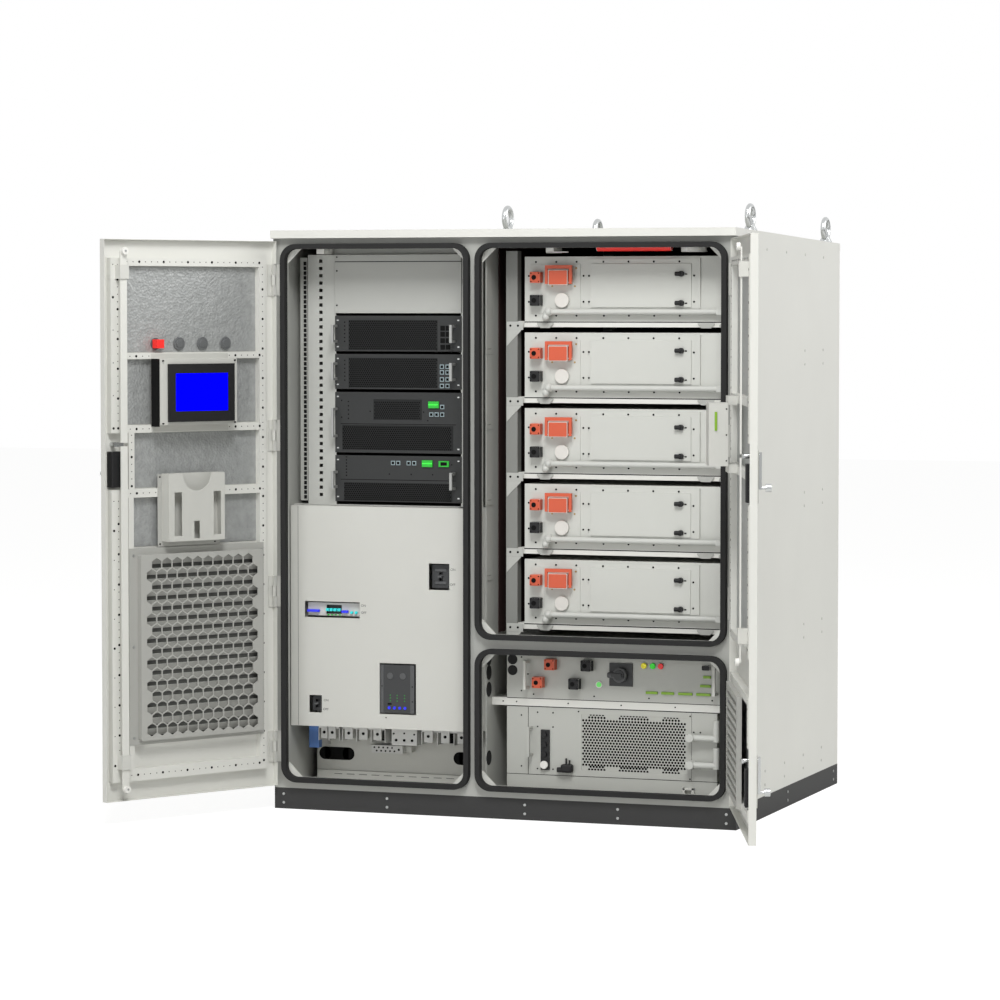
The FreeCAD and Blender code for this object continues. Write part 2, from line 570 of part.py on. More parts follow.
def build_door_skin(door):
    width = f"{door}_door_width"
    reach = ("-door_edge", f"{width} - door_edge")
    shell = on_door(door, reach, ("door_outer", "door_rim"), ("door_bottom", "door_top"))
    hollow = on_door(door, ("-door_edge + door_skin", f"{width} - door_edge - door_skin"),
                     ("skin_inner", "door_rim + 1"), ("door_bottom + door_skin", "door_top - door_skin"))
    notches = []
    for level in HINGES:
        notches.append(on_door(door, ("-door_edge - 1", "-door_edge + door_skin + 1"),
                               ("-knuckle_radius - 4", "door_rim + 1"),
                               hinge_span(level, -1, "hinge_height + 1")))
    spindles = [round_on_door(door, f"{door}_lock", level, "lock_spindle + pin_clearance",
                              ("door_outer - 1", "skin_inner + 1")) for level in lock_levels(door)]
    if door == "left":
        spindles.append(round_on_door(door, "stop_place", "pilot_level", "stop_stem + pin_clearance",
                                      ("door_outer - 1", "skin_inner + 1")))
    skin = cut(shell, [hollow] + notches + spindles)
    ends = [("frame_bottom + foot_strip", "frame_top - strip")]
    if door == "right":
        ends = [("frame_bottom + strip", "lower_frame_top - strip"),
                ("upper_frame_bottom + strip", "control_bottom - strip"), ("control_bottom", "control_top"),
                ("control_top + strip", "frame_top - strip")]
    linings = [on_door(door, ("frame_start + strip", f"{door}_frame_end - free_strip - rod_width"),
                       ("skin_inner", "lining_face"), span) for span in ends]
    if door == "left":
        stop_hole = round_on_door(door, "stop_place", "pilot_level", "stop_stem + pin_clearance",
                                  ("skin_inner - 1", "lining_face + 1"))
        linings = [cut(linings[0], [cross_strips(door), stop_hole]), filter_mat()]
    node(f"{door}_door_skin", grouped([skin] + linings), door)


def lock_levels(door):
    return ("lock_level",) if door == "left" else ("lock_level", "low_lock_level")


def cross_strips(door):
    """Three flat rails across the left door and the two upright bars between them."""
    depth = ("skin_inner", "frame_face")
    across = ("frame_start", "left_frame_end - free_strip")
    rails = [on_door(door, across, depth, (f"strip_{key}_bottom", f"strip_{key}_top")) for key in "abc"]
    rails.append(on_door(door, ("post_start", "post_end"), depth, ("strip_a_bottom", "strip_b_top")))
    rails.append(on_door(door, ("grille_end - filter_bar", "grille_end"), depth,
                         ("frame_bottom", "strip_a_bottom")))
    return joined(rails)


def build_left_frame():
    depth = ("skin_inner", "frame_face")
    outer = on_door("left", ("frame_start", "left_frame_end"), depth, ("frame_bottom", "frame_top"))
    inner = on_door("left", ("frame_start + strip", "left_frame_end - free_strip"),
                    ("skin_inner - 1", "frame_face + 1"), ("frame_bottom + foot_strip",
                                                           "frame_top - strip"))
    lock_gap = on_door("left", ("left_frame_end - free_strip - 1", "left_frame_end + 1"),
                       ("skin_inner - 1", "frame_face + 1"), ("strip_a_top", "strip_b_bottom"))
    node("left_door_frame", joined([cut(outer, [inner, lock_gap]), cross_strips("left")]), "left")


def build_right_frame():
    depth = ("skin_inner", "frame_face")
    cutting = ("skin_inner - 1", "frame_face + 1")
    frames = []
    for low, high in (("frame_bottom", "lower_frame_top"), ("upper_frame_bottom", "frame_top")):
        outer = on_door("right", ("frame_start", "right_frame_end"), depth, (low, high))
        inner = on_door("right", ("frame_start + strip", "right_frame_end - free_strip"), cutting,
                        (f"{low} + strip", f"{high} - strip"))
        frames.append(cut(outer, [inner]))
    for number, level in enumerate(("low_lock_level", "lock_level")):
        gap = on_door("right", ("right_frame_end - free_strip - 1", "right_frame_end + 1"), cutting,
                      (f"{level} - tub_below - tub_room", f"{level} + tub_above"))
        frames[number] = cut(frames[number], [gap])
    across = ("frame_start", "right_frame_end - free_strip - rod_gap * 12")
    rail = on_door("right", across, depth, ("control_bottom - strip", "control_bottom"))
    upper_rail = on_door("right", across, depth, ("control_top", "control_top + strip"))
    node("right_door_frame", grouped([frames[0], joined([frames[1], rail, upper_rail])]), "right")


def build_hinges():
    """Concealed hinges: the frame carries the middle knuckle, the door the outer two and the pin."""
    leaves = []
    for door, sign in (("left", "-"), ("right", "")):
        moving = []
        for level in HINGES:
            axis = (f"{sign}axis_side", "pin_front")
            middle = hinge_span(level, f"{KNUCKLE_LOW} + hinge_gap", f"{KNUCKLE_HIGH} - hinge_gap")
            knuckle = block((f"{axis[0]} - knuckle_radius", f"{axis[0]} + knuckle_radius"),
                            ("pin_front - knuckle_radius", "pin_front + knuckle_radius"), middle)
            arm = block((f"{sign}axis_side - hinge_arm / 2", f"{sign}axis_side + hinge_arm / 2"),
                        ("pin_front", "front - sheet"), middle)
            edge = ("-side + 2", "-side + hinge_leaf") if sign else ("side - hinge_leaf", "side - 2")
            leaf = block(edge, ("front - sheet", "front"), hinge_span(level, 0, "hinge_height"))
            bore = tube("z", axis, "knuckle_bore", (f"{middle[0]} - 1", f"{middle[1]} + 1"))
            leaves.append(cut(joined([knuckle, arm, leaf]), [bore]))
            whole = hinge_span(level, 0, "hinge_height")
            ends = [hinge_span(level, 0, KNUCKLE_LOW), hinge_span(level, KNUCKLE_HIGH, "hinge_height")]
            solids = [tube("z", (0, 0), "pin_radius", whole)]
            for end in ends:
                solids.append(on_door(door, ("-knuckle_radius", "knuckle_radius"),
                                      ("-knuckle_radius", "knuckle_radius"), end))
                solids.append(on_door(door, (0, "knuckle_radius"), ("skin_inner", 0), end))
            solids.append(on_door(door, ("knuckle_radius", "seal_width + 3"), ("skin_inner",
                                                                               "lining_face"), whole))
            moving.append(joined(solids))
        node(f"{door}_door_hinges", grouped(moving), door)
    node("frame_hinges", grouped(leaves))


def build_lock(door, name, level, upper=None, lower=None):
    """Outside plate, turning handle with knob and cam, and the rods that it throws."""
    spindle = f"{door}_lock"
    shaft = round_on_door(door, spindle, level, "lock_spindle", ("lever_outer", "cam_near"))
    cam = on_door(door, (f"{spindle} - cam_reach", f"{spindle} + cam_reach"),
                  ("cam_near", "cam_near + cam_thick"), (f"{level} - cam_half", f"{level} + cam_half"))
    half = "plate_width / 2"
    lever = on_door(door, (f"{spindle} - {half} + 3", f"{spindle} + {half} - 3"),
                    ("lever_outer", "lever_inner"), (f"{level} - knob_below",
                                                     f"{level} + lock_spindle + 4"))
    stem = round_on_door(door, spindle, f"{level} - knob_below + knob_stem", "knob_stem",
                         ("door_outer - knob_reach + knob_radius", "lever_outer"))
    ball = round_on_door(door, spindle, f"{level} - knob_below + knob_stem", "knob_radius",
                         ("door_outer - knob_reach", "door_outer - knob_reach + knob_radius * 1.4"))
    node(f"{name}_handle", joined([shaft, cam, lever, stem, ball]), door)
    rod = f"{door}_rod"
    reach = (f"{rod} - rod_width / 2", f"{rod} + rod_width / 2")
    depth = ("rod_near", "rod_far")
    wheel_depth = ("rod_far", "rod_far + roller_thick")
    for which, wheel, start, end in (("upper", upper, f"{level} + 6", upper), ("lower", lower,
                                                                               lower, f"{level} - 6")):
        if wheel is None:
            continue
        bar = on_door(door, reach, depth, (start, end))
        wheel_solid = round_on_door(door, rod, wheel, "roller_radius", wheel_depth)
        node(f"{name}_{which}_rod", joined([bar, wheel_solid]), door)


def lock_plate(door, level):
    """Fixed plate outside, with its padlock ring, and the black tub inside."""
    spindle = f"{door}_lock"
    half = "plate_width / 2"
    plate = on_door(door, (f"{spindle} - {half}", f"{spindle} + {half}"), ("plate_outer", "door_outer"),
                    (f"{level} - plate_below", f"{level} + plate_above"))
    hole = round_on_door(door, spindle, level, "lock_spindle + pin_clearance",
                         ("plate_outer - 1", "door_outer + 1"))
    tub = on_door(door, (f"{spindle} - tub_half", f"{spindle} + tub_half"), ("skin_inner", "tub_depth"),
                  (f"{level} - tub_below", f"{level} - tub_top_gap"))
    return [cut(plate, [hole]), tub]


def rod_guide(door, low, end=None):
    """A keeper that holds a rod against the frame with a running gap all round."""
    rod = f"{door}_rod"
    reach = (f"{rod} - rod_width / 2 - guide_wall", f"{rod} + rod_width / 2 + guide_wall")
    level = (low, f"{low} + guide_height")
    outer = on_door(door, reach, ("frame_face", "rod_far + rod_gap + guide_wall"), level)
    slot = on_door(door, (f"{rod} - rod_width / 2 - rod_gap", f"{rod} + rod_width / 2 + rod_gap"),
                   ("rod_near - rod_gap", "rod_far + rod_gap"), (f"{low} - 1", f"{low} + guide_height + 1"))
    return cut(outer, [slot])


def build_locks():
    build_lock("left", "left_lock", "lock_level", "roller_top", "roller_bottom")
    build_lock("right", "right_lock", "lock_level", "roller_top", "roller_middle")
    build_lock("right", "low_lock", "low_lock_level")
    left = lock_plate("left", "lock_level")
    left += [rod_guide("left", "guide_high"), rod_guide("left", "guide_low")]
    node("left_lock_plates", grouped(left), "left")
    right = lock_plate("right", "lock_level") + lock_plate("right", "low_lock_level")
    right += [rod_guide("right", "guide_high"), rod_guide("right", "guide_mid")]
    node("right_lock_plates", grouped(right), "right")


def build_filter_grille():
    """Pressed cover with a honeycomb of pointed hexagons over the filter mat."""
    body = doc.addObject("PartDesign::Body", "GrilleBody")
    flange = window_sketch(body, "grille_flange", [
        ("grille_start", "grille_end", "grille_bottom", "grille_top", None)])
    pad = body.newObject("PartDesign::Pad", "grille_flange_pad")
    pad.Profile = flange
    pad.Reversed = True
    pad.setExpression("Length", rule("flange"))
    box = window_sketch(body, "grille_box", [("box_start", "box_end", "box_bottom", "box_top", "8")])
    raised = body.newObject("PartDesign::Pad", "grille_box_pad")
    raised.Profile = box
    raised.Reversed = True
    raised.setExpression("Length", rule("grille_face - frame_face"))
    inside = window_sketch(body, "grille_inside", [
        ("box_start + grille_wall", "box_end - grille_wall", "box_bottom + grille_wall",
         "box_top - grille_wall", "6")])
    hollow = body.newObject("PartDesign::Pocket", "grille_hollow")
    hollow.Profile = inside
    hollow.setExpression("Length", rule("grille_face - frame_face - grille_thick"))
    hollow.Reversed = False
    doc.recompute()
    if body.Shape.Volume > raised.Shape.Volume - 1:
        hollow.Reversed = True
    body.setExpression("Placement.Base.y", rule("frame_face"))
    doc.recompute()
    size = {word: float(sheet.get(word)) for word in SIZES}
    flats, pitch = size["hex_flats"], size["hex_pitch"]
    row_pitch = pitch * math.sqrt(3) / 2
    corner = flats / math.sqrt(3)
    box_end = size["left_door_width"] - size["frame_short_left"] - size["box_from_end"]
    columns = int((box_end - size["hex_first_column"] - flats / 2) / pitch) + 1
    cells = []
    for row_number in range(int(size["hex_rows"])):
        shift = pitch / 2 if row_number % 2 else 0
        for column in range(columns - (row_number % 2)):
            x_place = size["hex_first_column"] + shift + column * pitch
            z_place = size["hex_first_row"] + row_number * row_pitch
            points = [FreeCAD.Vector(x_place + corner * math.sin(math.radians(60 * k)),
                                     size["frame_face"] + size["flange"],
                                     z_place + corner * math.cos(math.radians(60 * k))) for k in range(7)]
            face = Part.Face(Part.makePolygon(points))
            cells.append(face.extrude(FreeCAD.Vector(0, size["grille_face"], 0)))
    comb = doc.addObject("Part::Feature", "Honeycomb")
    comb.Shape = Part.makeCompound(cells)
    node("filter_grille", cut(body, [comb]), "left")


def filter_mat():
    """The fibre mat that lies on the lining behind the grille."""
    return on_door("left", ("box_start + grille_wall", "box_end - grille_wall"),
                   ("lining_face", "lining_face + mat_thick"), ("box_bottom + grille_wall",
                                                                "box_top - grille_wall"))


def build_document_pocket():
    depth = ("frame_face", "pocket_face")
    outer = on_door("left", ("pocket_start", "pocket_end"), depth, ("pocket_bottom", "pocket_top"))
    wall = "pocket_wall"
    hollow = on_door("left", (f"pocket_start + {wall}", f"pocket_end - {wall}"),
                     (f"frame_face + {wall}", f"pocket_face - {wall}"), (f"pocket_bottom + {wall}",
                                                                         "pocket_top + 1"))
    front = (f"pocket_face - {wall} - 1", "pocket_face + 1")
    middle = "(pocket_start + pocket_end) / 2"
    notch = tube("y", (middle, "pocket_top"), "pocket_notch", front)
    slots = []
    for place in ("pocket_start + 32", "pocket_end - 40"):
        slots.append(on_door("left", (f"{place} - pocket_slot / 2", f"{place} + pocket_slot / 2"), front,
                             ("pocket_bottom + 19", "pocket_bottom + 170")))
    slots.append(on_door("left", (f"{middle} - 12", f"{middle} + 12"), front,
                         ("pocket_bottom + 8", "pocket_bottom + 69")))
    node("document_pocket", cut(outer, [hollow, notch] + slots), "left")


def build_display():
    span = ("bracket_start", "bracket_end")
    plate = on_door("left", span, ("frame_face", "frame_face + bracket_wall"), ("bracket_bottom",
                                                                                "bracket_top"))
    box = on_door("left", span, ("frame_face", "bracket_face"), ("strip_b_top", "strip_c_bottom"))
    hollow = on_door("left", ("bracket_start - 1", "bracket_end + 1"),
                     ("frame_face + bracket_wall", "bracket_face - bracket_wall"),
                     ("strip_b_top + bracket_wall", "strip_c_bottom - bracket_wall"))
    seat = on_door("left", ("display_start + 8", "display_end - 8"),
                   ("bracket_face - bracket_wall - 1", "bracket_face + 1"),
                   ("display_bottom + 8", "display_top - 8"))
    node("display_bracket", cut(joined([plate, box]), [hollow, seat]), "left")
    bezel = on_door("left", ("display_start", "display_end"), ("bracket_face", "display_face"),
                    ("display_bottom", "display_top"))
    rear = on_door("left", ("display_start + 10", "display_end - 10"), ("bracket_face - 24",
                                                                        "bracket_face"),
                   ("display_bottom + 10", "display_top - 10"))
    glass = on_door("left", ("screen_start", "screen_end"), ("display_face - screen_deep",
                                                             "display_face + 1"),
                    ("screen_bottom", "screen_top"))
    node("display_unit", cut(joined([bezel, rear]), [glass]), "left")


def build_pilot_row():
    """Three indicators: nut on the lining, lens outside. Then the collar of the stop."""
    solids = []
    for number in range(3):
        place = f"pilot_first + {number} * pilot_pitch"
        solids.append(round_on_door("left", place, "pilot_level", "pilot_radius", ("lining_face",
                                                                                   "pilot_reach")))
        solids.append(round_on_door("left", place, "pilot_level", "lens_radius",
                                    ("door_outer - lens_reach", "door_outer")))
    solids.append(round_on_door("left", "stop_place", "pilot_level", "pilot_radius",
                                ("lining_face", "pilot_reach"), "stop_stem + pin_clearance"))
    node("pilot_lamps", grouped(solids), "left")


def build_control_box():
    case = on_door("right", ("control_start", "control_end"), ("control_near", "control_face"),
                   ("control_bottom", "control_top"))
    legs = []
    for low, high in (("control_bottom - strip + 4", "control_bottom + 6"), ("control_top - 6",
                                                                             "control_top + strip - 4")):
        for reach in (("control_start + 20", "control_start + 50"), ("control_end - 50",
                                                                     "control_end - 20")):
            legs.append(on_door("right", reach, ("frame_face", "control_near"), (low, high)))
    node("door_control_box", joined([case] + legs), "right")


def build_right_filter():
    reach = ("right_filter_start", "right_filter_end")
    level = ("right_filter_bottom", "right_filter_top")
    case = on_door("right", reach, ("frame_face", "right_filter_face"), level)
    slots = []
    for number in range(12):
        low = f"right_filter_bottom + 20 + {number} * 28"
        slots.append(on_door("right", ("right_filter_start + 20", "right_filter_end - 20"),
                             ("right_filter_face - 8", "right_filter_face + 1"), (low, f"{low} + 16")))
    node("right_filter", cut(case, slots), "right")


# Left compartment

def build_rack():
    upright = ("rack_floor", "post_top")
    webs = ("rack_back", "rack_back + post_depth")
    left_face = block(("post_left", "post_left_end"), ("rack_back", "rack_back + sheet"), upright)
    holes = []
    for number in range(SIZES["hole_count"]):
        low = f"hole_first + {number} * hole_pitch"
        holes.append(block(("hole_left", "hole_right"), ("rack_back - 1", "rack_back + sheet + 1"),
                           (low, f"{low} + hole_height")))
    posts = [cut(left_face, [grouped(holes)]),
             block(("post_left", "post_left + sheet"), webs, upright),
             block(("post_right_end", "post_right"), ("rack_back", "rack_back + sheet"), upright),
             block(("post_right - sheet", "post_right"), webs, upright)]
    shelf = block(("wall_left", "partition_place"), ("rack_back", "rack_back + post_depth"),
                  ("rack_floor - sheet", "rack_floor"))
    node("rack_posts", joined(posts + [shelf]))
    modules = []
    for key in ("m1", "m2", "m3", "m4"):
        plate = block(("rack_left", "rack_right"), ("front + rack_face", "rack_back"),
                      (f"{key}_bottom", f"{key}_top"))
        case = block(("rack_left + rack_inset", "rack_right - rack_inset"), ("rack_back",
                                                                             "rack_back + module_depth"),
                     (f"{key}_bottom + 1", f"{key}_top - 1"))
        modules.append(cut(joined([plate, case]), module_recesses(key)))
    modules.append(block(("rack_left", "rack_right"), ("front + rack_face", "rack_back"),
                         ("blank_bottom", "blank_top")))
    node("rack_modules", grouped(modules))


# Meshes of the modules: left and right from the plate's left end, low and high from its bottom.
RECESSES = {"m1": (52, 390, 5, 111), "m2": (52, 390, 5, 111), "m3": (27, 449, 10, 98), "m4": (33,
                                                                                              445, 3, 68)}


def module_recesses(key):
    """The shallow recess of the mesh in a module's front plate."""
    left, right, low, high = RECESSES[key]
    return [block((f"rack_left + {left}", f"rack_left + {right}"),
                  ("front + rack_face - 1", "front + rack_face + mesh_deep - 1"),
                  (f"{key}_bottom + {low}", f"{key}_bottom + {high}"))]


def grip(x_low, x_high, low, high, reach, bar, y_face):
    """A handle of two legs and a grip, standing off a front face. The grip runs along Z."""
    legs = [block((x_low, x_high), (f"{y_face} - {reach}", y_face), (low, f"{low} + {bar}")),
            block((x_low, x_high), (f"{y_face} - {reach}", y_face), (f"{high} - {bar}", high))]
    bar_solid = block((x_low, x_high), (f"{y_face} - {reach} - {bar}", f"{y_face} - {reach}"), (low, high))
    return joined(legs + [bar_solid])


# Low and high end of each module's handles, from its bottom.
HANDLE_SPANS = {"m1": (31, 94), "m2": (31, 94), "m3": (54, 159), "m4": (47, 108)}


def build_rack_handles():
    """Handles at both ends of each module; the tall module has one, at the left."""
    face = "front + rack_face"
    handles = []
    for key, (low, high) in HANDLE_SPANS.items():
        starts = ["rack_left"] if key == "m3" else ["rack_left", "rack_right - grip_inset"]
        for start in starts:
            handles.append(grip(start, f"{start} + grip_bar", f"{key}_bottom + {low}",
                                f"{key}_bottom + {high}", "grip_reach", "grip_bar", face))
    node("rack_handles", grouped(handles))


def build_cable_duct():
    """Wiring duct beside the rack post, on a carrier strip fixed to the side wall."""
    face, back = "front + duct_face", "front + duct_face + duct_depth"
    outer = block(("duct_left", "duct_right"), (face, back), ("duct_bottom", "duct_top"))
    hollow = block(("duct_left + duct_wall", "duct_right - duct_wall"), (f"{face} + duct_wall",
                                                                         f"{back} - duct_wall"),
                   ("duct_bottom - 1", "duct_top + 1"))
    carrier = block(("wall_left", "duct_right"), (back, f"{back} + sheet"), ("duct_bottom", "duct_top"))
    node("cable_duct", grouped([cut(outer, [hollow]), carrier]))


WINDOWS = {
    "grid": ("grid_left", "grid_right", "grid_bottom", "grid_top"),
    "din": ("din_left", "din_right", "din_bottom", "din_top"),
    "load": ("load_left", "load_right", "load_bottom", "load_top"),
    "transfer": ("transfer_left", "transfer_right", "transfer_bottom", "transfer_top"),
}


def build_distribution():
    span, level = ("cover_left", "cover_right"), ("cover_bottom", "cover_top")
    outer = block(span, ("front + cover_face", "rack_back"), level)
    hollow = block(("cover_left + cover_sheet", "cover_right - cover_sheet"), ("cover_back",
                                                                               "rack_back + 1"),
                   ("cover_bottom + cover_sheet", "cover_top - cover_sheet"))
    holes = []
    for left, right, low, high in WINDOWS.values():
        holes.append(block((f"{left} - window_gap", f"{right} + window_gap"),
                           ("front + cover_face - 1", "cover_back + 1"),
                           (f"{low} - window_gap", f"{high} + window_gap")))
    node("distribution_cover", cut(outer, [hollow] + holes))
    plate = block(("plate_left", "plate_right"), ("front + plate_face", "front + plate_face + sheet"),
                  ("plate_bottom", "plate_top"))
    stays = []
    for left in ("plate_left + 40", "plate_right - 80"):
        stays.append(block((left, f"{left} + 40"), ("front + plate_face", "front + plate_face + sheet"),
                           ("deck", "plate_bottom")))
    rails = []
    for span in (("wall_left", "plate_left + 20"), ("plate_right - 30", "partition_place")):
        rails.append(block(span, ("rack_back", "rack_back + sheet"), ("cover_bottom", "cover_top")))
    node("equipment_plate", grouped([joined([plate] + stays)] + rails))
    bodies = []
    for key, (left, right, low, high) in WINDOWS.items():
        face = "transfer_face" if key == "transfer" else "breaker_face"
        body = block((left, right), (f"front + {face}", "front + plate_face"), (low, high))
        if key != "transfer":
            middle = f"({low} + {high}) / 2"
            x_middle = f"({left} + {right}) / 2"
            half = "(toggle_width / 2 + toggle_gap)" if key != "din" else "(toggle_width * 2 + toggle_gap)"
            well = block((f"{x_middle} - {half}", f"{x_middle} + {half}"),
                         (f"front + {face} - 1", f"front + {face} + toggle_radius * 2 + 2"),
                         (f"{middle} - toggle_radius - 9", f"{middle} + toggle_radius + 9"))
            body = cut(body, [well])
        bodies.append(body)
    node("switchgear", grouped(bodies))
    for key in ("grid", "din", "load"):
        left, right, low, high = WINDOWS[key]
        middle = f"({low} + {high}) / 2"
        x_middle = f"({left} + {right}) / 2"
        half = "(toggle_width / 2)" if key != "din" else "(toggle_width * 2)"
        span = (f"{x_middle} - {half}", f"{x_middle} + {half}")
        drum = tube("x", (f"front + breaker_face + toggle_radius + 1", middle), "toggle_radius", span)
        lever = block(span, (f"front + breaker_face - toggle_reach",
                             "front + breaker_face + toggle_radius"),
                      (f"{middle} - 3", f"{middle} + 3"))
        node(f"{key}_breaker_toggle", joined([drum, lever]))


# Left and right edge of each lug, from the left edge of the cover.
LUGS = {
    "load": ((92, 115), (122, 147)),
    "grid": ((183, 213), (238, 270), (293, 323)),
    "generator": ((487, 519), (551, 582), (613, 643)),
}


def build_terminals():
    """Tinned lugs with barriers between them, the neutral block and the earth bar."""
    face, base = "front + lug_face", "front + plate_face"
    lug_back = f"{face} + lug_thick"
    level = ("lug_bottom", "lug_top")
    solids = []
    for pairs in LUGS.values():
        first, last = f"cover_left + {pairs[0][0]}", f"cover_left + {pairs[-1][1]}"
        solids.append(block((f"{first} - barrier_gap", f"{last} + barrier_gap"), (lug_back, base),
                            ("lug_top - carrier_height", "lug_top")))
        solids += [block((f"cover_left + {left}", f"cover_left + {right}"), (face, lug_back), level)
                   for left, right in pairs]
        edges = [f"{first} - barrier_gap"]
        edges += [f"cover_left + {(one[1] + other[0]) / 2}" for one, other in zip(pairs, pairs[1:])]
        edges += [f"{last} + barrier_gap"]
        solids += [block((f"{edge} - barrier_thick / 2", f"{edge} + barrier_thick / 2"), (lug_back, base),
                         ("barrier_bottom", "lug_top - carrier_height")) for edge in edges]
    solids.append(block(("surge_left", "surge_right"), (f"{face} + 10", base), ("surge_bottom", "lug_top")))
    solids.append(block(("neutral_left", "neutral_right"), (face, base), ("neutral_bottom", "lug_top")))
    solids.append(block(("earth_left", "earth_right"), ("front + earth_face", base),
                        ("earth_bottom", "earth_top")))
    node("terminal_bars", grouped(solids))


# Right compartments

def pack_drop(number):
    return f"{number} * pack_pitch"


def build_bay():
    posts = []
    for face in ("front + bay_post_face", "front + pack_face + pack_depth - 60"):
        depth = (face, f"{face} + bay_post_depth")
        for span in (("bay_post_left", "bay_post_right"), ("bay_side_post", "bay_side_end")):
            inner_gap = "sheet"
            outer = block(span, depth, ("deck_level + sheet", "pack_top + 20"))
            hollow = block((f"{span[0]} + {inner_gap}", f"{span[1]} - {inner_gap}"),
                           (f"{face} + {inner_gap}", f"{face} + bay_post_depth - {inner_gap}"),
                           ("deck_level", "pack_top + 21"))
            posts.append(cut(outer, [hollow]))
    node("bay_posts", grouped(posts))
    shelves = []
    for number in range(SIZES["pack_count"]):
        top = f"pack_top - pack_height - {pack_drop(number)}"
        tray = block(("bay_post_right", "bay_side_post"), ("pack_front + 2",
                                                           "pack_front + pack_depth - shelf_short"),
                     (f"{top} - shelf_sheet", top))
        beam = block(("bay_post_right", "bay_side_post"), ("pack_front + 2 - shelf_lip", "pack_front + 2"),
                     (f"{top} - shelf_height", top))
        sides = []
        for span in (("bay_post_right", "bay_post_right + shelf_sheet"),
                     ("bay_side_post - shelf_sheet", "bay_side_post")):
            sides.append(block(span, ("pack_front + 2", "pack_front + pack_depth - shelf_short"),
                               (f"{top} - shelf_side", top)))
        shelves.append(joined([tray, beam] + sides))
    shelves.append(block(("partition_place + sheet", "wall_right"), ("low_front", "low_front + hv_depth"),
                         ("rail_low", "hv_bottom")))
    node("bay_shelves", grouped(shelves))


def square_socket(x_place, level, face):
    """A square power socket that stands out from a front face."""
    return block((f"{x_place} - socket_half", f"{x_place} + socket_half"), (f"{face} - socket_reach", face),
                 (f"{level} - socket_half", f"{level} + socket_half"))


def build_packs():
    packs, fittings, pipes = [], [], []
    for number in range(SIZES["pack_count"]):
        drop = pack_drop(number)
        packs.append(block(("pack_left", "pack_right - sheet - 1"), ("pack_front",
                                                                     "pack_front + pack_depth"),
                           (f"pack_top - pack_height - {drop}", f"pack_top - {drop}")))
        fittings.append(block(("cover_start", "cover_end"), ("pack_front - pack_cover_thick", "pack_front"),
                              (f"pack_cover_low - {drop}", f"pack_cover_high - {drop}")))
        for level in ("orange_level", "black_level"):
            fittings.append(square_socket("socket_place", f"{level} - {drop}", "pack_front"))
        fittings.append(tube("y", ("valve_place", f"black_level - {drop}"), "valve_radius",
                             ("pack_front - valve_reach", "pack_front")))
        base = block(("plug_left", "plug_right"), ("front + plug_face", "pack_front"),
                     (f"plug_bottom - {drop}", f"plug_top - {drop}"))
        pin = tube("x", (f"front + plug_pivot", f"plug_axis - {drop}"), "plug_pin",
                   ("plug_left - arm_gap - arm_width", "plug_right + arm_gap + arm_width"))
        fittings.append(joined([base, pin]))
        level = f"pipe_level - {drop}"
        run = tube("x", ("front + pipe_face", level), "pipe_radius", ("pipe_left", "pipe_right"))
        ends = [block((f"{place} - pipe_radius", f"{place} + pipe_radius"),
                      ("front + pipe_face - pipe_radius", "pack_front"),
                      (f"{level} - pipe_radius", f"{level} + pipe_radius"))
                for place in ("pipe_left", "pipe_right")]
        pipes.append(joined([run] + ends))
    node("battery_packs", grouped(packs))
    node("pack_fittings", grouped(fittings))
    return pipes


def build_levers():
    """The arched lever over each service plug, hinged on the plug's pin."""
    depth = ("front + plug_pivot - arm_depth / 2", "front + plug_pivot + arm_depth / 2")
    reach, reach_left = "arm_gap + arm_width", "arm_gap - arm_width"
    for number in range(SIZES["pack_count"]):
        drop = pack_drop(number)
        top = f"plug_axis + arm_rise - {drop}"
        solids = [block(span, depth, (f"plug_axis - arm_depth / 2 - {drop}", top))
                  for span in ((f"plug_left - {reach_left}", "plug_left - arm_gap"),
                               ("plug_right + arm_gap", f"plug_right + {reach}"))]
        solids.append(block((f"plug_left - {reach_left}", f"plug_right + {reach}"), depth,
                            (f"{top} - bar_thick", top)))
        bore = tube("x", ("front + plug_pivot", f"plug_axis - {drop}"), "plug_pin + pin_clearance",
                    (f"plug_left - ({reach}) - 1", f"plug_right + {reach} + 1"))
        node(f"service_lever_{number + 1}", cut(joined(solids), [bore]))


# Places on the front of the high voltage box, from its left and bottom edges.
LAMP_PLACES = (505, 537, 566)
LOW_SOCKETS = ((167, 123), (122, 59), (301, 123), (256, 58))
LOW_PLUGS = (((512, 554), (31, 39)), ((568, 613), (31, 39)), ((629, 679), (31, 39)),
             ((694, 744), (31, 39)), ((713, 743), (118, 136)), ((719, 745), (92, 99)),
             ((708, 745), (61, 68)))
LOW_HANDLES = ((74, 83), (762, 771))


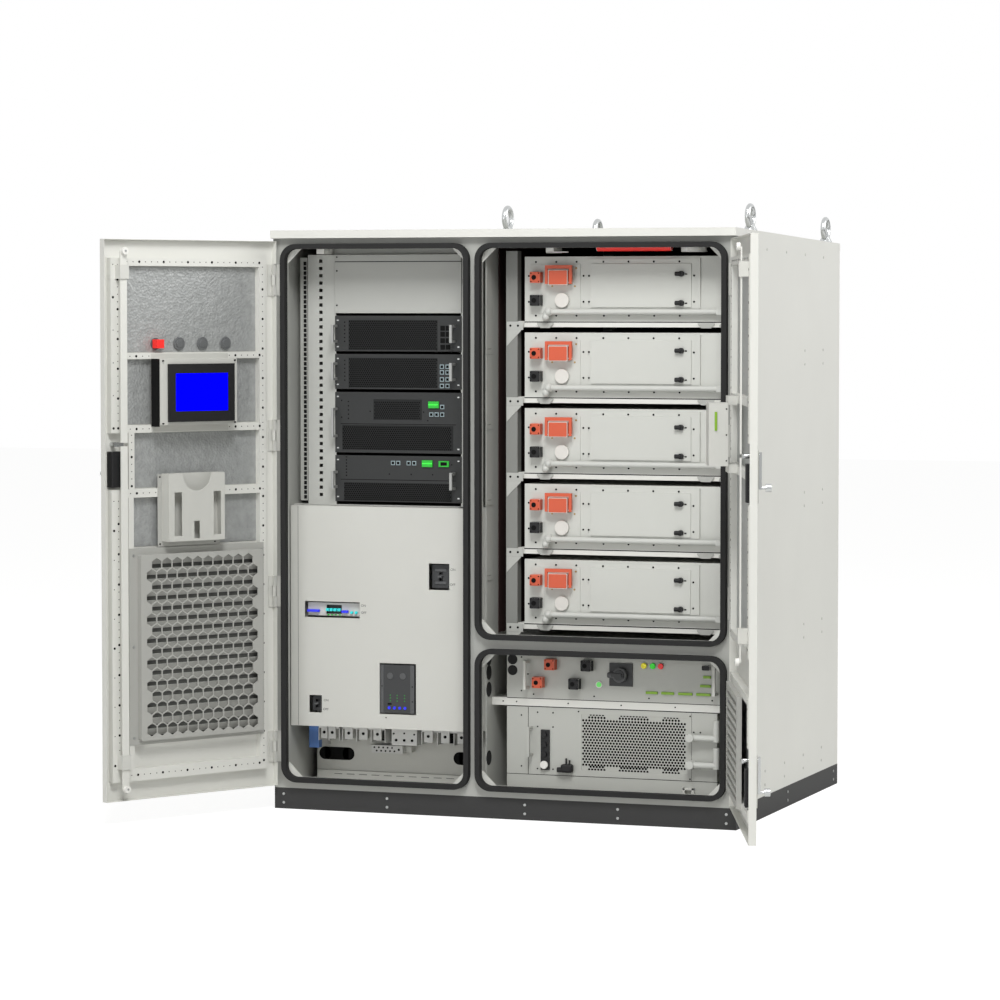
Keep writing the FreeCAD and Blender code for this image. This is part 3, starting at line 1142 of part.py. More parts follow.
def build_high_voltage():
    """The control box of the batteries, with its sockets, lamps, knob and button."""
    case = block(("hv_left", "hv_right"), ("low_front", "low_front + hv_depth"), ("hv_bottom", "hv_top"))
    spindle = ("(rotary_left + rotary_right) / 2", "(rotary_bottom + rotary_top) / 2")
    knob_hole = tube("y", spindle, "lock_spindle + pin_clearance", ("low_front - 1", "low_front + 30"))
    button_hole = tube("y", ("button_place", "button_level"), "button_radius + 0.3",
                       ("low_front - 1", "low_front + 20"))
    node("hv_box", cut(case, [knob_hole, button_hole]))
    plate = block(("rotary_left", "rotary_right"), ("low_front - rotary_plate", "low_front"),
                  ("rotary_bottom", "rotary_top"))
    fittings = [cut(plate, [tube("y", spindle, "lock_spindle + pin_clearance",
                                 ("low_front - rotary_plate - 1", "low_front + 1"))])]
    for x_place in LAMP_PLACES:
        fittings.append(tube("y", (f"hv_left + {x_place}", "lamp_level"), "lamp_radius",
                             ("low_front - lamp_reach", "low_front")))
    for x_place, level in LOW_SOCKETS:
        fittings.append(square_socket(f"hv_left + {x_place}", f"hv_bottom + {level}", "low_front"))
    for (left, right), (low, high) in LOW_PLUGS:
        fittings.append(block((f"hv_left + {left}", f"hv_left + {right}"),
                              ("low_front - plug_proud", "low_front"),
                              (f"hv_bottom + {low}", f"hv_bottom + {high}")))
    for left, right in LOW_HANDLES:
        fittings.append(grip(f"hv_left + {left}", f"hv_left + {right}", "handle_bottom", "handle_top",
                             "grip_reach", "grip_bar", "low_front"))
    node("hv_fittings", grouped(fittings))
    face = "low_front - rotary_plate - 0.5"
    knob = tube("y", spindle, "rotary_radius", (f"{face} - rotary_reach", face))
    bar = block((f"{spindle[0]} - lever_long", f"{spindle[0]} + lever_short"),
                (f"{face} - rotary_reach - lever_proud", f"{face} - rotary_reach"),
                (f"{spindle[1]} - lever_half", f"{spindle[1]} + lever_half"))
    shaft = tube("y", spindle, "lock_spindle", (face, "low_front + 25"))
    node("rotary_knob", joined([knob, bar, shaft]))
    button = tube("y", ("button_place", "button_level"), "button_radius", ("low_front - 6",
                                                                           "low_front + 10"))
    node("hv_button", button)


def build_chiller():
    case = block(("hv_left", "chiller_right"), ("low_front", "low_front + chiller_depth"),
                 ("chiller_bottom", "chiller_top"))
    mesh = block(("chill_mesh_left", "chill_mesh_right"), ("low_front - 1", "low_front + 2"),
                 ("chill_mesh_bottom", "chill_mesh_top"))
    sills = [block(("hv_left", "chiller_right"), (start, f"{start} + apron_depth"), ("deck",
                                                                                     "chiller_bottom"))
             for start in ("low_front", "low_front + chiller_depth - skid_place")]
    handle = grip("chiller_grip", "chiller_grip + grip_bar", "chiller_grip_low", "chiller_grip_high",
                  "grip_reach", "grip_bar", "low_front")
    node("chiller_unit", grouped([joined([cut(case, [mesh])] + sills), handle]))
    hoses = []
    for level in ("hose_upper", "hose_lower"):
        run = tube("x", ("front + hose_face", level), "hose_radius", ("hose_left", "hose_turn"))
        start = block(("hose_left - hose_radius", "hose_left + hose_radius"),
                      ("front + hose_face - hose_radius", "low_front"),
                      (f"{level} - hose_radius", f"{level} + hose_radius"))
        rise = tube("z", ("hose_turn", "front + hose_face"), "hose_radius",
                    (f"{level} - hose_radius", f"{level} + hose_rise"))
        hoses.append(joined([run, start, rise]))
    return hoses


def build_ceiling():
    solids = []
    for place in ("lamp_left_place", "lamp_right_place"):
        solids.append(block((f"{place} - 14", f"{place} + 14"), ("front + 60", "front + 60 + lamp_depth"),
                            ("ceiling_level - lamp_drop", "ceiling_level")))
    solids.append(tube("x", ("front + 100", "ceiling_level - aerosol_radius - 6"), "aerosol_radius",
                       ("aerosol_left", "aerosol_right")))
    solids.append(block(("aerosol_left + 60", "aerosol_right - 60"), ("front + 92", "front + 108"),
                        ("ceiling_level - aerosol_radius", "ceiling_level")))
    solids[-2:] = [joined(solids[-2:])]
    solids.append(tube("z", ("sensor_place", "front + 110"), "sensor_radius",
                       ("ceiling_level - sensor_drop", "ceiling_level")))
    node("ceiling_fittings", grouped(solids))


def build_emergency_stop():
    """Mushroom head outside, and the stem that carries the red contact block inside."""
    head_start = "door_outer - stop_gap - stop_travel"
    stem = round_on_door("left", "stop_place", "pilot_level", "stop_stem",
                         (head_start, "pilot_reach + stop_gap"))
    head = round_on_door("left", "stop_place", "pilot_level", "stop_radius",
                         (f"{head_start} - stop_height", head_start))
    contact = on_door("left", ("stop_place - contact_half", "stop_place + contact_half"),
                      ("pilot_reach + stop_gap", "pilot_reach + stop_gap + contact_depth"),
                      ("pilot_level - contact_half", "pilot_level + contact_half"))
    node("emergency_stop", joined([stem, head, contact]), "left")


build_plinth()
build_floor()
build_front_frame()
build_seals()
build_side_panels()
build_rear_panel()
build_inner_walls()
build_roof()
build_lifting_eyes()
build_door_skin("left")
build_door_skin("right")
build_left_frame()
build_right_frame()
build_hinges()
build_locks()
build_filter_grille()
build_document_pocket()
build_display()
build_pilot_row()
build_emergency_stop()
build_control_box()
build_right_filter()
build_rack()
build_rack_handles()
build_cable_duct()
build_distribution()
build_terminals()
build_bay()
pipes = build_packs()
build_levers()
build_high_voltage()
pipes += build_chiller()
node("coolant_pipes", grouped(pipes))
build_ceiling()

doc.recompute()
for item in doc.Objects:
    if "Invalid" in item.State or "Error" in item.State:
        raise RuntimeError(f"{item.Name} ({item.Label}) failed: {item.State}")
os.makedirs("parts", exist_ok=True)
for item in NODES:
    if item.Shape.isNull() or not item.Shape.isValid():
        raise RuntimeError(f"{item.Label} has no valid shape")
    item.Shape.exportStep(f"parts/{item.Label}.step")
print(len(NODES), "sub-parts")
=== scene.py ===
import json
import math
import bpy
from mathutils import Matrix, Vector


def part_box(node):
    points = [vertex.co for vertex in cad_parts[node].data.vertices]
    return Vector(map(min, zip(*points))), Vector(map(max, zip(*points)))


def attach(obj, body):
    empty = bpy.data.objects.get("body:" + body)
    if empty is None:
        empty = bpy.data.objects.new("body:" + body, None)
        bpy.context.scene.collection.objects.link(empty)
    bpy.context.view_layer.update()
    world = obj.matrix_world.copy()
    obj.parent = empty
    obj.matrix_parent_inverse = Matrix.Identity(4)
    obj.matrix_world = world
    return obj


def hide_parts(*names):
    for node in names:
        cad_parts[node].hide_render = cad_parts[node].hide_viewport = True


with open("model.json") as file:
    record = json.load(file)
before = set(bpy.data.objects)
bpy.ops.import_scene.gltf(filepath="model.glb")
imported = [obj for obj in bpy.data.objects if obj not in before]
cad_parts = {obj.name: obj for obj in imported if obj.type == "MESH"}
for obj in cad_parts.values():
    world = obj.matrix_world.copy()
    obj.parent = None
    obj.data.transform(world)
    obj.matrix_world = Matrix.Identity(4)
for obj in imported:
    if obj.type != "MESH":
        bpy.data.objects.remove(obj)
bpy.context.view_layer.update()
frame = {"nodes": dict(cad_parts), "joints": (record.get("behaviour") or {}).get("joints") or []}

# Camera: stands at the front right, a little above the middle of the cabinet, and looks
# slightly down. Its place and lens repeat the photograph's viewing angle.
bpy.ops.object.select_all(action="DESELECT")
camera_place = (4.42584, -13.01531, 1.78552)
camera_turn = (math.radians(90 - 2.9291), math.radians(-0.0086), math.radians(19.7457))
bpy.ops.object.camera_add(location=camera_place, rotation=camera_turn)
camera = bpy.context.object
camera.data.lens = 135.9
camera.data.sensor_width = 36
camera.data.clip_end = 100
bpy.context.scene.camera = camera


# Studio: a wide pale floor, a white surround that only the camera and the gloss see, and
# three soft lamps. The strongest stands to the right, so the right side panel is lightest.
def linear(code):
    """A hex sRGB colour as linear red, green, blue and alpha."""
    parts = [int(code[i:i + 2], 16) / 255 for i in (1, 3, 5)]
    return [c / 12.92 if c <= 0.04045 else ((c + 0.055) / 1.055) ** 2.4 for c in parts] + [1]


def add(tree, kind, links=(), **settings):
    """Add a node, set its inputs and properties, and link each (output, input name)."""
    shader_node = tree.nodes.new(kind)
    for word, value in settings.items():
        socket = word.replace("_", " ")
        if socket in shader_node.inputs:
            shader_node.inputs[socket].default_value = value
        else:
            setattr(shader_node, word, value)
    for output, socket in links:
        tree.links.new(output, shader_node.inputs[socket])
    return shader_node


world = bpy.data.worlds.new("Studio")
bpy.context.scene.world = world
world.use_nodes = True
world.node_tree.nodes.clear()
sky_path = add(world.node_tree, "ShaderNodeLightPath")
sky_seen = add(world.node_tree, "ShaderNodeMath", [(sky_path.outputs["Is Camera Ray"], 0),
               (sky_path.outputs["Is Glossy Ray"], 1)], operation="ADD", use_clamp=True)
sky_shown = add(world.node_tree, "ShaderNodeMath", [(sky_seen.outputs[0], 0),
                (sky_path.outputs["Is Transmission Ray"], 1)], operation="ADD", use_clamp=True)
sky_fill = add(world.node_tree, "ShaderNodeBackground", Color=linear("#FFFFFF"), Strength=0.34)
sky_white = add(world.node_tree, "ShaderNodeBackground", Color=linear("#FFFFFF"), Strength=1.0)
sky_mix = add(world.node_tree, "ShaderNodeMixShader", [(sky_shown.outputs[0], 0),
              (sky_fill.outputs[0], 1), (sky_white.outputs[0], 2)])
add(world.node_tree, "ShaderNodeOutputWorld", [(sky_mix.outputs[0], "Surface")])

lamps = (("side", (6.5, 2.0, 4.5), 3.0, 190), ("front", (1.6, -5.4, 6.6), 2.6, 420),
         ("low", (-2.0, -8.0, 1.2), 3.0, 75))
for lamp_name, place, size, power in lamps:
    bpy.ops.object.light_add(type="AREA", location=place)
    lamp = bpy.context.object
    lamp.name = f"lamp_{lamp_name}"
    lamp.data.size = size
    lamp.data.energy = power
    aim = [t - p for t, p in zip((0, 0, 1.0), place)]
    lamp.rotation_euler = (math.atan2(math.hypot(aim[0], aim[1]), -aim[2]), 0,
                           math.atan2(-aim[0], aim[1]))

bpy.ops.object.select_all(action="DESELECT")
bpy.ops.mesh.primitive_plane_add(size=60, location=(0, 0, -0.0005))
floor = bpy.context.object
floor.name = "floor"
floor_paint = bpy.data.materials.new("Matt white floor")
floor_paint.use_nodes = True
floor_paint.node_tree.nodes.clear()
floor_path = add(floor_paint.node_tree, "ShaderNodeLightPath")
floor_glow = add(floor_paint.node_tree, "ShaderNodeEmission", Color=linear("#FFFFFF"),
                 Strength=1.42)
floor_matt = add(floor_paint.node_tree, "ShaderNodeBsdfDiffuse", Color=linear("#F4F4F2"))
floor_share = add(floor_paint.node_tree, "ShaderNodeMath",
                  [(floor_path.outputs["Is Camera Ray"], 0)], operation="MULTIPLY")
floor_share.inputs[1].default_value = 0.6
floor_mix = add(floor_paint.node_tree, "ShaderNodeMixShader", [(floor_share.outputs[0], 0),
                (floor_matt.outputs[0], 1), (floor_glow.outputs[0], 2)])
add(floor_paint.node_tree, "ShaderNodeOutputMaterial", [(floor_mix.outputs[0], "Surface")])
floor.data.materials.append(floor_paint)
bpy.context.scene.view_settings.view_transform = "Standard"


# Cabinet body: folded steel sheet with a light warm grey powder coat. The coat has a fine
# orange peel, and its tone drifts a little from panel to panel.
def coated(name, code, roughness, grain=0.0012, relief=0.03, drift=0.04, metal=0.0, shine=0.5):
    """A coating of one colour with a fine grain in its surface and a slow drift of tone."""
    finish = bpy.data.materials.new(name)
    finish.use_nodes = True
    tree = finish.node_tree
    tree.nodes.clear()
    place = add(tree, "ShaderNodeTexCoord")
    slow = add(tree, "ShaderNodeTexNoise", [(place.outputs["Object"], "Vector")], Scale=3.0,
               Detail=3.0)
    base = linear(code)
    light = [min(1.0, c * (1 + drift)) for c in base[:3]] + [1]
    dark = [c * (1 - drift) for c in base[:3]] + [1]
    tone = add(tree, "ShaderNodeMix", [(slow.outputs["Fac"], 0)], data_type="RGBA")
    tone.inputs[6].default_value = dark
    tone.inputs[7].default_value = light
    peel = add(tree, "ShaderNodeTexNoise", [(place.outputs["Object"], "Vector")], Scale=1 / grain,
               Detail=2.0)
    bump = add(tree, "ShaderNodeBump", [(peel.outputs["Fac"], "Height")], Strength=relief,
               Distance=grain / 4)
    shader = add(tree, "ShaderNodeBsdfPrincipled",
                 [(tone.outputs[2], "Base Color"), (bump.outputs[0], "Normal")],
                 Roughness=roughness, Metallic=metal, Specular_IOR_Level=shine)
    add(tree, "ShaderNodeOutputMaterial", [(shader.outputs[0], "Surface")])
    return finish


def wear(names, finish):
    """Give the named CAD nodes a finish."""
    for name in names:
        for place in frame["nodes"][name].material_slots:
            place.material = finish


coat = coated("Powder coated steel, warm grey", "#D6D6D0", 0.42)
inner_coat = coated("Powder coated steel, inside", "#C9C9C3", 0.5)
frame_coat = coated("Powder coated steel, door frame", "#A9AAA5", 0.5)
wear(["side_panels", "rear_panel", "roof_cap"], coat)
wear(["front_frame"], frame_coat)
wall_coat = coated("Powder coated steel, inner walls", "#B2B3AE", 0.5)
post_coat = coated("Powder coated steel, posts", "#7F807C", 0.5)
wear(["inner_walls", "rack_posts"], wall_coat)
wear(["bay_posts"], post_coat)
wear(["floor_pan", "equipment_plate", "distribution_cover"], inner_coat)
wear(["bay_shelves"], coat)


# Blind rivets of the side panels: domed heads in vertical pairs, where the panels are fixed
# to the uprights behind them, and one row that follows the fall of the roof.
def disc(name, middle, radius, depth, along="y", edge=0.0, sides=24):
    """A round piece centred on a point in millimetres, its axis along x, y or z."""
    turn = {"x": (0, math.pi / 2, 0), "y": (math.pi / 2, 0, 0), "z": (0, 0, 0)}[along]
    bpy.ops.object.select_all(action="DESELECT")
    bpy.ops.mesh.primitive_cylinder_add(vertices=sides, radius=radius / 1000, depth=depth / 1000,
                                        location=[c / 1000 for c in middle], rotation=turn)
    return settle(name, edge)


def settle(name, edge):
    """Fix the new piece's place in its mesh, and round its edges by edge metres."""
    piece = bpy.context.object
    piece.name = name
    bpy.ops.object.transform_apply(location=True, rotation=True, scale=True)
    if edge:
        bpy.ops.object.modifier_add(type="BEVEL")
        piece.modifiers[-1].width = edge
        piece.modifiers[-1].segments = 2
        piece.modifiers[-1].limit_method = "ANGLE"
        bpy.ops.object.modifier_apply(modifier=piece.modifiers[-1].name)
    return piece


def merge(name, pieces):
    """Several pieces made one object."""
    bpy.ops.object.select_all(action="DESELECT")
    for piece in pieces:
        piece.select_set(True)
    bpy.context.view_layer.objects.active = pieces[0]
    if len(pieces) > 1:
        bpy.ops.object.join()
    pieces[0].name = name
    return pieces[0]


def dress(piece, finish, body):
    """Give a piece its finish and let it ride on a body."""
    piece.data.materials.clear()
    piece.data.materials.append(finish)
    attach(piece, body)
    return piece


FRONT = round(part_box("front_frame")[0][1] * 1000)
SIDE = round(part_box("front_frame")[1][0] * 1000)
rivet_steel = coated("Painted rivet heads", "#B9B9B2", 0.4)
rivets = []
for side in (-1, 1):
    for column in range(4):
        place = FRONT + 361 + column * 254.5
        levels = [162, 114]
        if column > 1:
            levels += [638, 590, 1116, 1067, 1628, 1579]
        levels.append(1985 - column * 6)
        for level in levels:
            rivets.append(disc("rivet", (side * (SIDE + 0.4), place, level), 5, 2, "x", 0.0004, 12))
dress(merge("side_rivets", rivets), rivet_steel, "cabinet")

# Plinth: folded steel channel, painted dark grey, with countersunk screws along the front
# and sides. The screws are plain steel.
plinth_coat = coated("Textured paint, dark grey", "#3C3C3C", 0.6, 0.002, 0.12, shine=0.2)
wear(["plinth"], plinth_coat)
screw_steel = coated("Zinc plated screw heads", "#A9ABAA", 0.35, metal=0.9)
screws = [disc("screw", (x, FRONT - 0.5, z), 5, 3, "y", 0.0004, 12)
          for x in (-820, -425, 90, 430, 820) for z in (22, 53)]
screws += [disc("screw", (side * (SIDE + 0.5), FRONT + y, z), 5, 3, "x", 0.0004, 12)
           for side in (-1, 1) for y in (60, 660, 1300) for z in (22, 53)]
dress(merge("plinth_screws", screws), screw_steel, "cabinet")

# Lifting eyes: forged rings on round collars, zinc plated. They stand for the plain rings
# of the construction at the same places.
bright_zinc = coated("Bright zinc plate", "#C4C6C6", 0.22, 0.003, 0.02, 0.08, 1.0)
eyes = []
for x in (-55, 832):
    for y, level in ((-450, 2048.5), (560, 2024.1)):
        bpy.ops.object.select_all(action="DESELECT")
        bpy.ops.mesh.primitive_torus_add(location=(x / 1000, y / 1000, (level + 49) / 1000),
                                         rotation=(0, math.pi / 2, 0), major_radius=0.035,
                                         minor_radius=0.0098, major_segments=56, minor_segments=18)
        bpy.ops.object.shade_smooth()
        eyes.append(settle("eye", 0))
        bpy.ops.object.select_all(action="DESELECT")
        bpy.ops.mesh.primitive_cone_add(vertices=40, radius1=0.0249, radius2=0.014, depth=0.02,
                                        location=(x / 1000, y / 1000, (level + 10.4) / 1000))
        eyes.append(settle("collar", 0.0012))
eye_piece = dress(merge("forged_lifting_eyes", eyes), bright_zinc, "cabinet")
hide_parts("lifting_eyes")

# Door seals: black foam rubber pressed on the lips of the three mouths, matt and soft, with
# a fine cellular grain.
foam_rubber = coated("Black foam rubber", "#2B2B2B", 0.85, 0.0008, 0.2, 0.1, shine=0.2)
wear(["door_seals"], foam_rubber)


# Corner braces: flat triangles welded behind the corners of the three mouths, in the light
# colour of the doors.
def slab(name, low, high, edge=0.001):
    """A block between two corners, given in millimetres, with softened edges."""
    bpy.ops.object.select_all(action="DESELECT")
    middle = [(a + b) / 2000 for a, b in zip(low, high)]
    bpy.ops.mesh.primitive_cube_add(size=1, location=middle,
                                    scale=[(b - a) / 1000 for a, b in zip(low, high)])
    return settle(name, edge)


def trimmed(piece, point, normal):
    """Cut a piece along a plane and keep what lies behind its normal."""
    bpy.ops.object.select_all(action="DESELECT")
    piece.select_set(True)
    bpy.context.view_layer.objects.active = piece
    bpy.ops.object.mode_set(mode="EDIT")
    bpy.ops.mesh.select_all(action="SELECT")
    bpy.ops.mesh.bisect(plane_co=[c / 1000 for c in point], plane_no=normal, clear_outer=True,
                        use_fill=True)
    bpy.ops.object.mode_set(mode="OBJECT")
    return piece


MOUTHS = ((-801, -129, 116, 1989), (-69, 803.5, 646, 1989), (-69, 803.5, 116, 578))
BRACE = 50
braces = []
for left, right, low, high in MOUTHS:
    for x, x_way in ((left, 1), (right, -1)):
        for z, z_way in ((low, 1), (high, -1)):
            across, up = sorted((x, x + BRACE * x_way)), sorted((z, z + BRACE * z_way))
            corner = slab("brace", (across[0], FRONT + 5, up[0]), (across[1], FRONT + 11, up[1]), 0)
            middle = (x + BRACE / 2 * x_way, FRONT, z + BRACE / 2 * z_way)
            braces.append(trimmed(corner, middle, (x_way, 0, z_way)))
dress(merge("corner_braces", braces), coat, "cabinet")

# Hinges: painted steel knuckles and leaves. They are concealed when the doors are shut,
# and their halves follow the cabinet and the doors.
wear(["frame_hinges", "left_door_hinges", "right_door_hinges"], inner_coat)

# Doors: trays of 1.5 mm steel, powder coated. Inside each tray lies a foil faced lining, and
# rows of punched holes run along its stiffening frame.
wear(["left_door_skin", "right_door_skin", "left_door_frame", "right_door_frame"], coat)
joints = {joint["name"]: joint for joint in frame["joints"]}


def hang(piece, side):
    """Turn a piece drawn on the shut door, x from the hinge and y inwards, to the open door."""
    joint = joints[f"{side}_door_hinge"]
    swing = math.radians(joint["range_deg"][1] if side == "left" else joint["range_deg"][0])
    place = joint["pos_m"]
    piece.rotation_euler = (0, 0, -swing)
    piece.location = (place[0], place[1], 0)
    bpy.ops.object.select_all(action="DESELECT")
    piece.select_set(True)
    bpy.context.view_layer.objects.active = piece
    bpy.ops.object.transform_apply(location=True, rotation=True, scale=True)
    return piece


def foil_lining():
    """Aluminium foil on foam, dimpled by the press, dull silver grey."""
    finish = bpy.data.materials.new("Dimpled aluminium foil")
    finish.use_nodes = True
    tree = finish.node_tree
    tree.nodes.clear()
    place = add(tree, "ShaderNodeTexCoord")
    dimple = add(tree, "ShaderNodeTexVoronoi", [(place.outputs["Object"], "Vector")], Scale=110.0)
    crease = add(tree, "ShaderNodeTexNoise", [(place.outputs["Object"], "Vector")], Scale=45.0,
                 Detail=4.0)
    relief = add(tree, "ShaderNodeMath",
                 [(dimple.outputs["Distance"], 0), (crease.outputs["Fac"], 1)], operation="ADD")
    bump = add(tree, "ShaderNodeBump", [(relief.outputs[0], "Height")], Strength=0.35,
               Distance=0.004)
    tone = add(tree, "ShaderNodeMix", [(crease.outputs["Fac"], 0)], data_type="RGBA")
    tone.inputs[6].default_value = linear("#8E908F")
    tone.inputs[7].default_value = linear("#B4B6B5")
    shader = add(tree, "ShaderNodeBsdfPrincipled",
                 [(tone.outputs[2], "Base Color"), (bump.outputs[0], "Normal")], Roughness=0.45,
                 Metallic=0.35)
    add(tree, "ShaderNodeOutputMaterial", [(shader.outputs[0], "Surface")])
    return finish


foil = foil_lining()
LINING = -8.5
left_panes = ((77, 670, 1629, 1924), (77, 670, 1381, 1604), (77, 612, 1162, 1351),
              (77, 618, 960, 1128))
right_panes = ((77, 845, 702, 1233), (77, 845, 1264, 1467), (77, 845, 1498, 1924),
               (77, 845, 180, 522))
for side, sign, panes in (("left", 1, left_panes), ("right", -1, right_panes)):
    sheets = []
    for start, end, low, high in panes:
        span = sorted((sign * start, sign * end))
        sheets.append(slab("pane", (span[0], LINING, low), (span[1], LINING + 1.2, high), 0.0004))
    dress(hang(merge(f"{side}_door_foil", sheets), side), foil, f"{side}_door")


def repeat(piece, count, step):
    """Copies of a piece in a row, a step in millimetres apart."""
    bpy.context.view_layer.objects.active = piece
    bpy.ops.object.modifier_add(type="ARRAY")
    row = piece.modifiers[-1]
    row.count = count
    row.use_relative_offset = False
    row.use_constant_offset = True
    row.constant_offset_displace = [c / 1000 for c in step]
    bpy.ops.object.modifier_apply(modifier=row.name)
    return piece


def punched(side, sign, runs):
    """Rows of punched holes along the strips of a door's stiffening frame."""
    rows = []
    for start, end, pitch in runs:
        length = math.dist(start, end)
        count = max(2, round(length / pitch) + 1)
        step = [(b - a) / (count - 1) for a, b in zip(start, end)]
        hole = disc("hole", (sign * start[0], 13, start[1]), 1.9, 0.8, "y", 0, 8)
        rows.append(repeat(hole, count, (sign * step[0], 0, step[1])))
        wide = disc("hole", (sign * start[0], 13, start[1]), 4.4, 1.2, "y", 0, 12)
        rows.append(repeat(wide, (count + 3) // 4, (sign * step[0] * 4, 0, step[1] * 4)))
    return hang(merge(f"{side}_door_holes", rows), side)


# Black for screws, keys and seams; in holes, slots and gaps the same black is painted shade.
black_and_hole_shade = coated("Black parts, and painted shade in holes and slots", "#161616", 0.9, shine=0.1)
# The punched holes of both doors are black discs: painted shade inside the holes.
left_runs = [((61, 180), (61, 1925), 26), ((684, 210), (684, 1120), 26),
             ((684, 1370), (684, 1930), 26), ((703, 210), (703, 1120), 104),
             ((703, 1370), (703, 1930), 104), ((75, 1940), (670, 1940), 26),
             ((75, 1616), (660, 1616), 26), ((75, 1366), (660, 1366), 26),
             ((75, 1145), (660, 1145), 26), ((80, 172), (660, 172), 26),
             ((628, 1170), (628, 1345), 26)]
dress(punched("left", 1, left_runs), black_and_hole_shade, "left_door")
right_runs = [((61, 180), (61, 535), 26), ((61, 690), (61, 1925), 26),
              ((893, 400), (893, 540), 26), ((893, 1380), (893, 1930), 26),
              ((893, 700), (893, 1140), 26), ((90, 1940), (850, 1940), 26)]
dress(punched("right", -1, right_runs), black_and_hole_shade, "right_door")

# Filter: pressed cover with a honeycomb, powder coated like the door. Behind it lie pale
# slanted blades and a dark fibre mat.
grille_coat = coated("Powder coated steel, grille", "#A9A9A4", 0.45)
wear(["filter_grille", "right_filter"], grille_coat)
mat_fibre = coated("Filter mat, polyester fibre", "#5E5F5C", 0.95, 0.0015, 0.6, 0.12)
mat_piece = slab("filter_mat_face", (84, 7.6, 294), (603, 8.6, 929), 0)
dress(hang(mat_piece, "left"), mat_fibre, "left_door")
bpy.ops.object.select_all(action="DESELECT")
bpy.ops.mesh.primitive_cube_add(size=1, location=(0.3435, 0.0185, 0.318),
                                scale=(0.515, 0.0015, 0.026), rotation=(math.radians(-24), 0, 0))
louvres = repeat(settle("filter_louvres", 0), 17, (0, 0, 37))
dress(hang(louvres, "left"), grille_coat, "left_door")
grille_screws = [disc("screw", (x, 15.5, z), 5, 3, "y", 0.0005, 16)
                 for x in (70, 624) for z in (300, 615, 930)]
dress(hang(merge("grille_screws", grille_screws), "left"), screw_steel, "left_door")

# Document pocket and display bracket: bent sheet in the door's colour. The pocket has a
# screwed flange behind it.
pocket_coat = coated("Powder coated steel, pocket", "#C2C2BC", 0.45)
wear(["document_pocket", "display_bracket"], pocket_coat)
flange = merge("pocket_flange", [slab("strip", (502, 13.2, 957), (520, 14.6, 1208), 0.0004),
                                 slab("strip", (254, 13.2, 957), (501.9, 14.6, 975), 0.0004)])
dress(hang(flange, "left"), grille_coat, "left_door")
marks = [disc("screw", (x, 15.2, z), 3, 1.4, "y", 0, 12)
         for x, z in ((511, 1198), (511, 966), (275, 966))]
marks += [disc("screw", (x, 69, z), 2.5, 8, "y", 0, 10)
          for x, z in ((226, 1384), (226, 1600), (534, 1384), (534, 1600))]
dress(hang(merge("pocket_screws", marks), "left"), black_and_hole_shade, "left_door")

# Display: a black moulded bezel round a lit screen that shows plain blue. A black sheet in
# the open side of its bracket is painted shade.
black_plastic = coated("Black moulded plastic", "#1C1C1D", 0.5, 0.0006, 0.15, shine=0.3)
wear(["display_unit"], black_plastic)
screen_glow = bpy.data.materials.new("Lit display glass")
screen_glow.use_nodes = True
screen_tree = screen_glow.node_tree
screen_tree.nodes.clear()
screen_place = add(screen_tree, "ShaderNodeTexCoord")
screen_dots = add(screen_tree, "ShaderNodeTexNoise", [(screen_place.outputs["Object"], "Vector")],
                  Scale=900.0)
screen_tone = add(screen_tree, "ShaderNodeMix", [(screen_dots.outputs["Fac"], 0)], data_type="RGBA")
screen_tone.inputs[6].default_value = linear("#0000F4")
screen_tone.inputs[7].default_value = linear("#0202FF")
screen_shader = add(screen_tree, "ShaderNodeBsdfPrincipled",
                    [(screen_tone.outputs[2], "Base Color"),
                     (screen_tone.outputs[2], "Emission Color")], Roughness=0.4,
                    Emission_Strength=0.8, Specular_IOR_Level=0.0)
add(screen_tree, "ShaderNodeOutputMaterial", [(screen_shader.outputs[0], "Surface")])
# Black sheet in the open side of the display bracket: painted shade.
shade = slab("display_side_shade", (545.1, 15, 1373), (545.9, 63, 1607), 0)
dress(hang(shade, "left"), black_and_hole_shade, "left_door")
screen = slab("screen", (260, 73.2, 1426), (483, 73.9, 1556), 0.0002)
dress(hang(screen, "left"), screen_glow, "left_door")

# Indicators and emergency stop, seen from behind: dark clamping nuts with a rim, and the
# red contact block of the stop. Each lens has its own place on the outside.
lamp_plastic = coated("Dark grey nylon", "#555657", 0.5, shine=0.3)
wear(["pilot_lamps"], lamp_plastic)
red_plastic = coated("Red moulded plastic", "#FF2E28", 0.4)
wear(["emergency_stop"], red_plastic)
nut_grey = coated("Satin grey clamping nuts", "#77797A", 0.35, metal=0.5)
nuts = [disc("nut", (212 + 100 * number, -3.4, 1658), 23, 3.4, "y", 0.0012, 40)
        for number in range(3)]
nuts += [disc("nut", (212 + 100 * number, -1, 1658), 14, 3, "y", 0.001, 32) for number in range(3)]
dress(hang(merge("indicator_backs", nuts), "left"), nut_grey, "left_door")

# Rod locks: painted flat rods with nylon rollers, black tubs inside, plates outside. The
# rollers follow their rods and the tubs follow the doors.
nylon = coated("White nylon", "#E4E3DE", 0.5)
wear([f"{side}_lock_{end}_rod" for side in ("left", "right") for end in ("upper", "lower")], coat)
wear(["left_lock_plates", "right_lock_plates"], inner_coat)
wear(["left_lock_handle", "right_lock_handle", "low_lock_handle"], bright_zinc)
LOCKS = (("left", 1, 695, 1315), ("right", -1, 889.5, 1315), ("right", -1, 889.5, 348))
for side, sign, place, level in LOCKS:
    span = sorted((sign * place - 20.6, sign * place + 20.6))
    tub = slab(f"{side}_lock_tub_{level}", (span[0], -11, level - 147.6),
               (span[1], 20.8, level - 24.4), 0.002)
    dress(hang(tub, side), black_plastic, f"{side}_door")
ROLLERS = (("left", 1, 675.5, "upper", 1976), ("left", 1, 675.5, "lower", 130),
           ("right", -1, 870, "upper", 1976), ("right", -1, 870, "lower", 660))
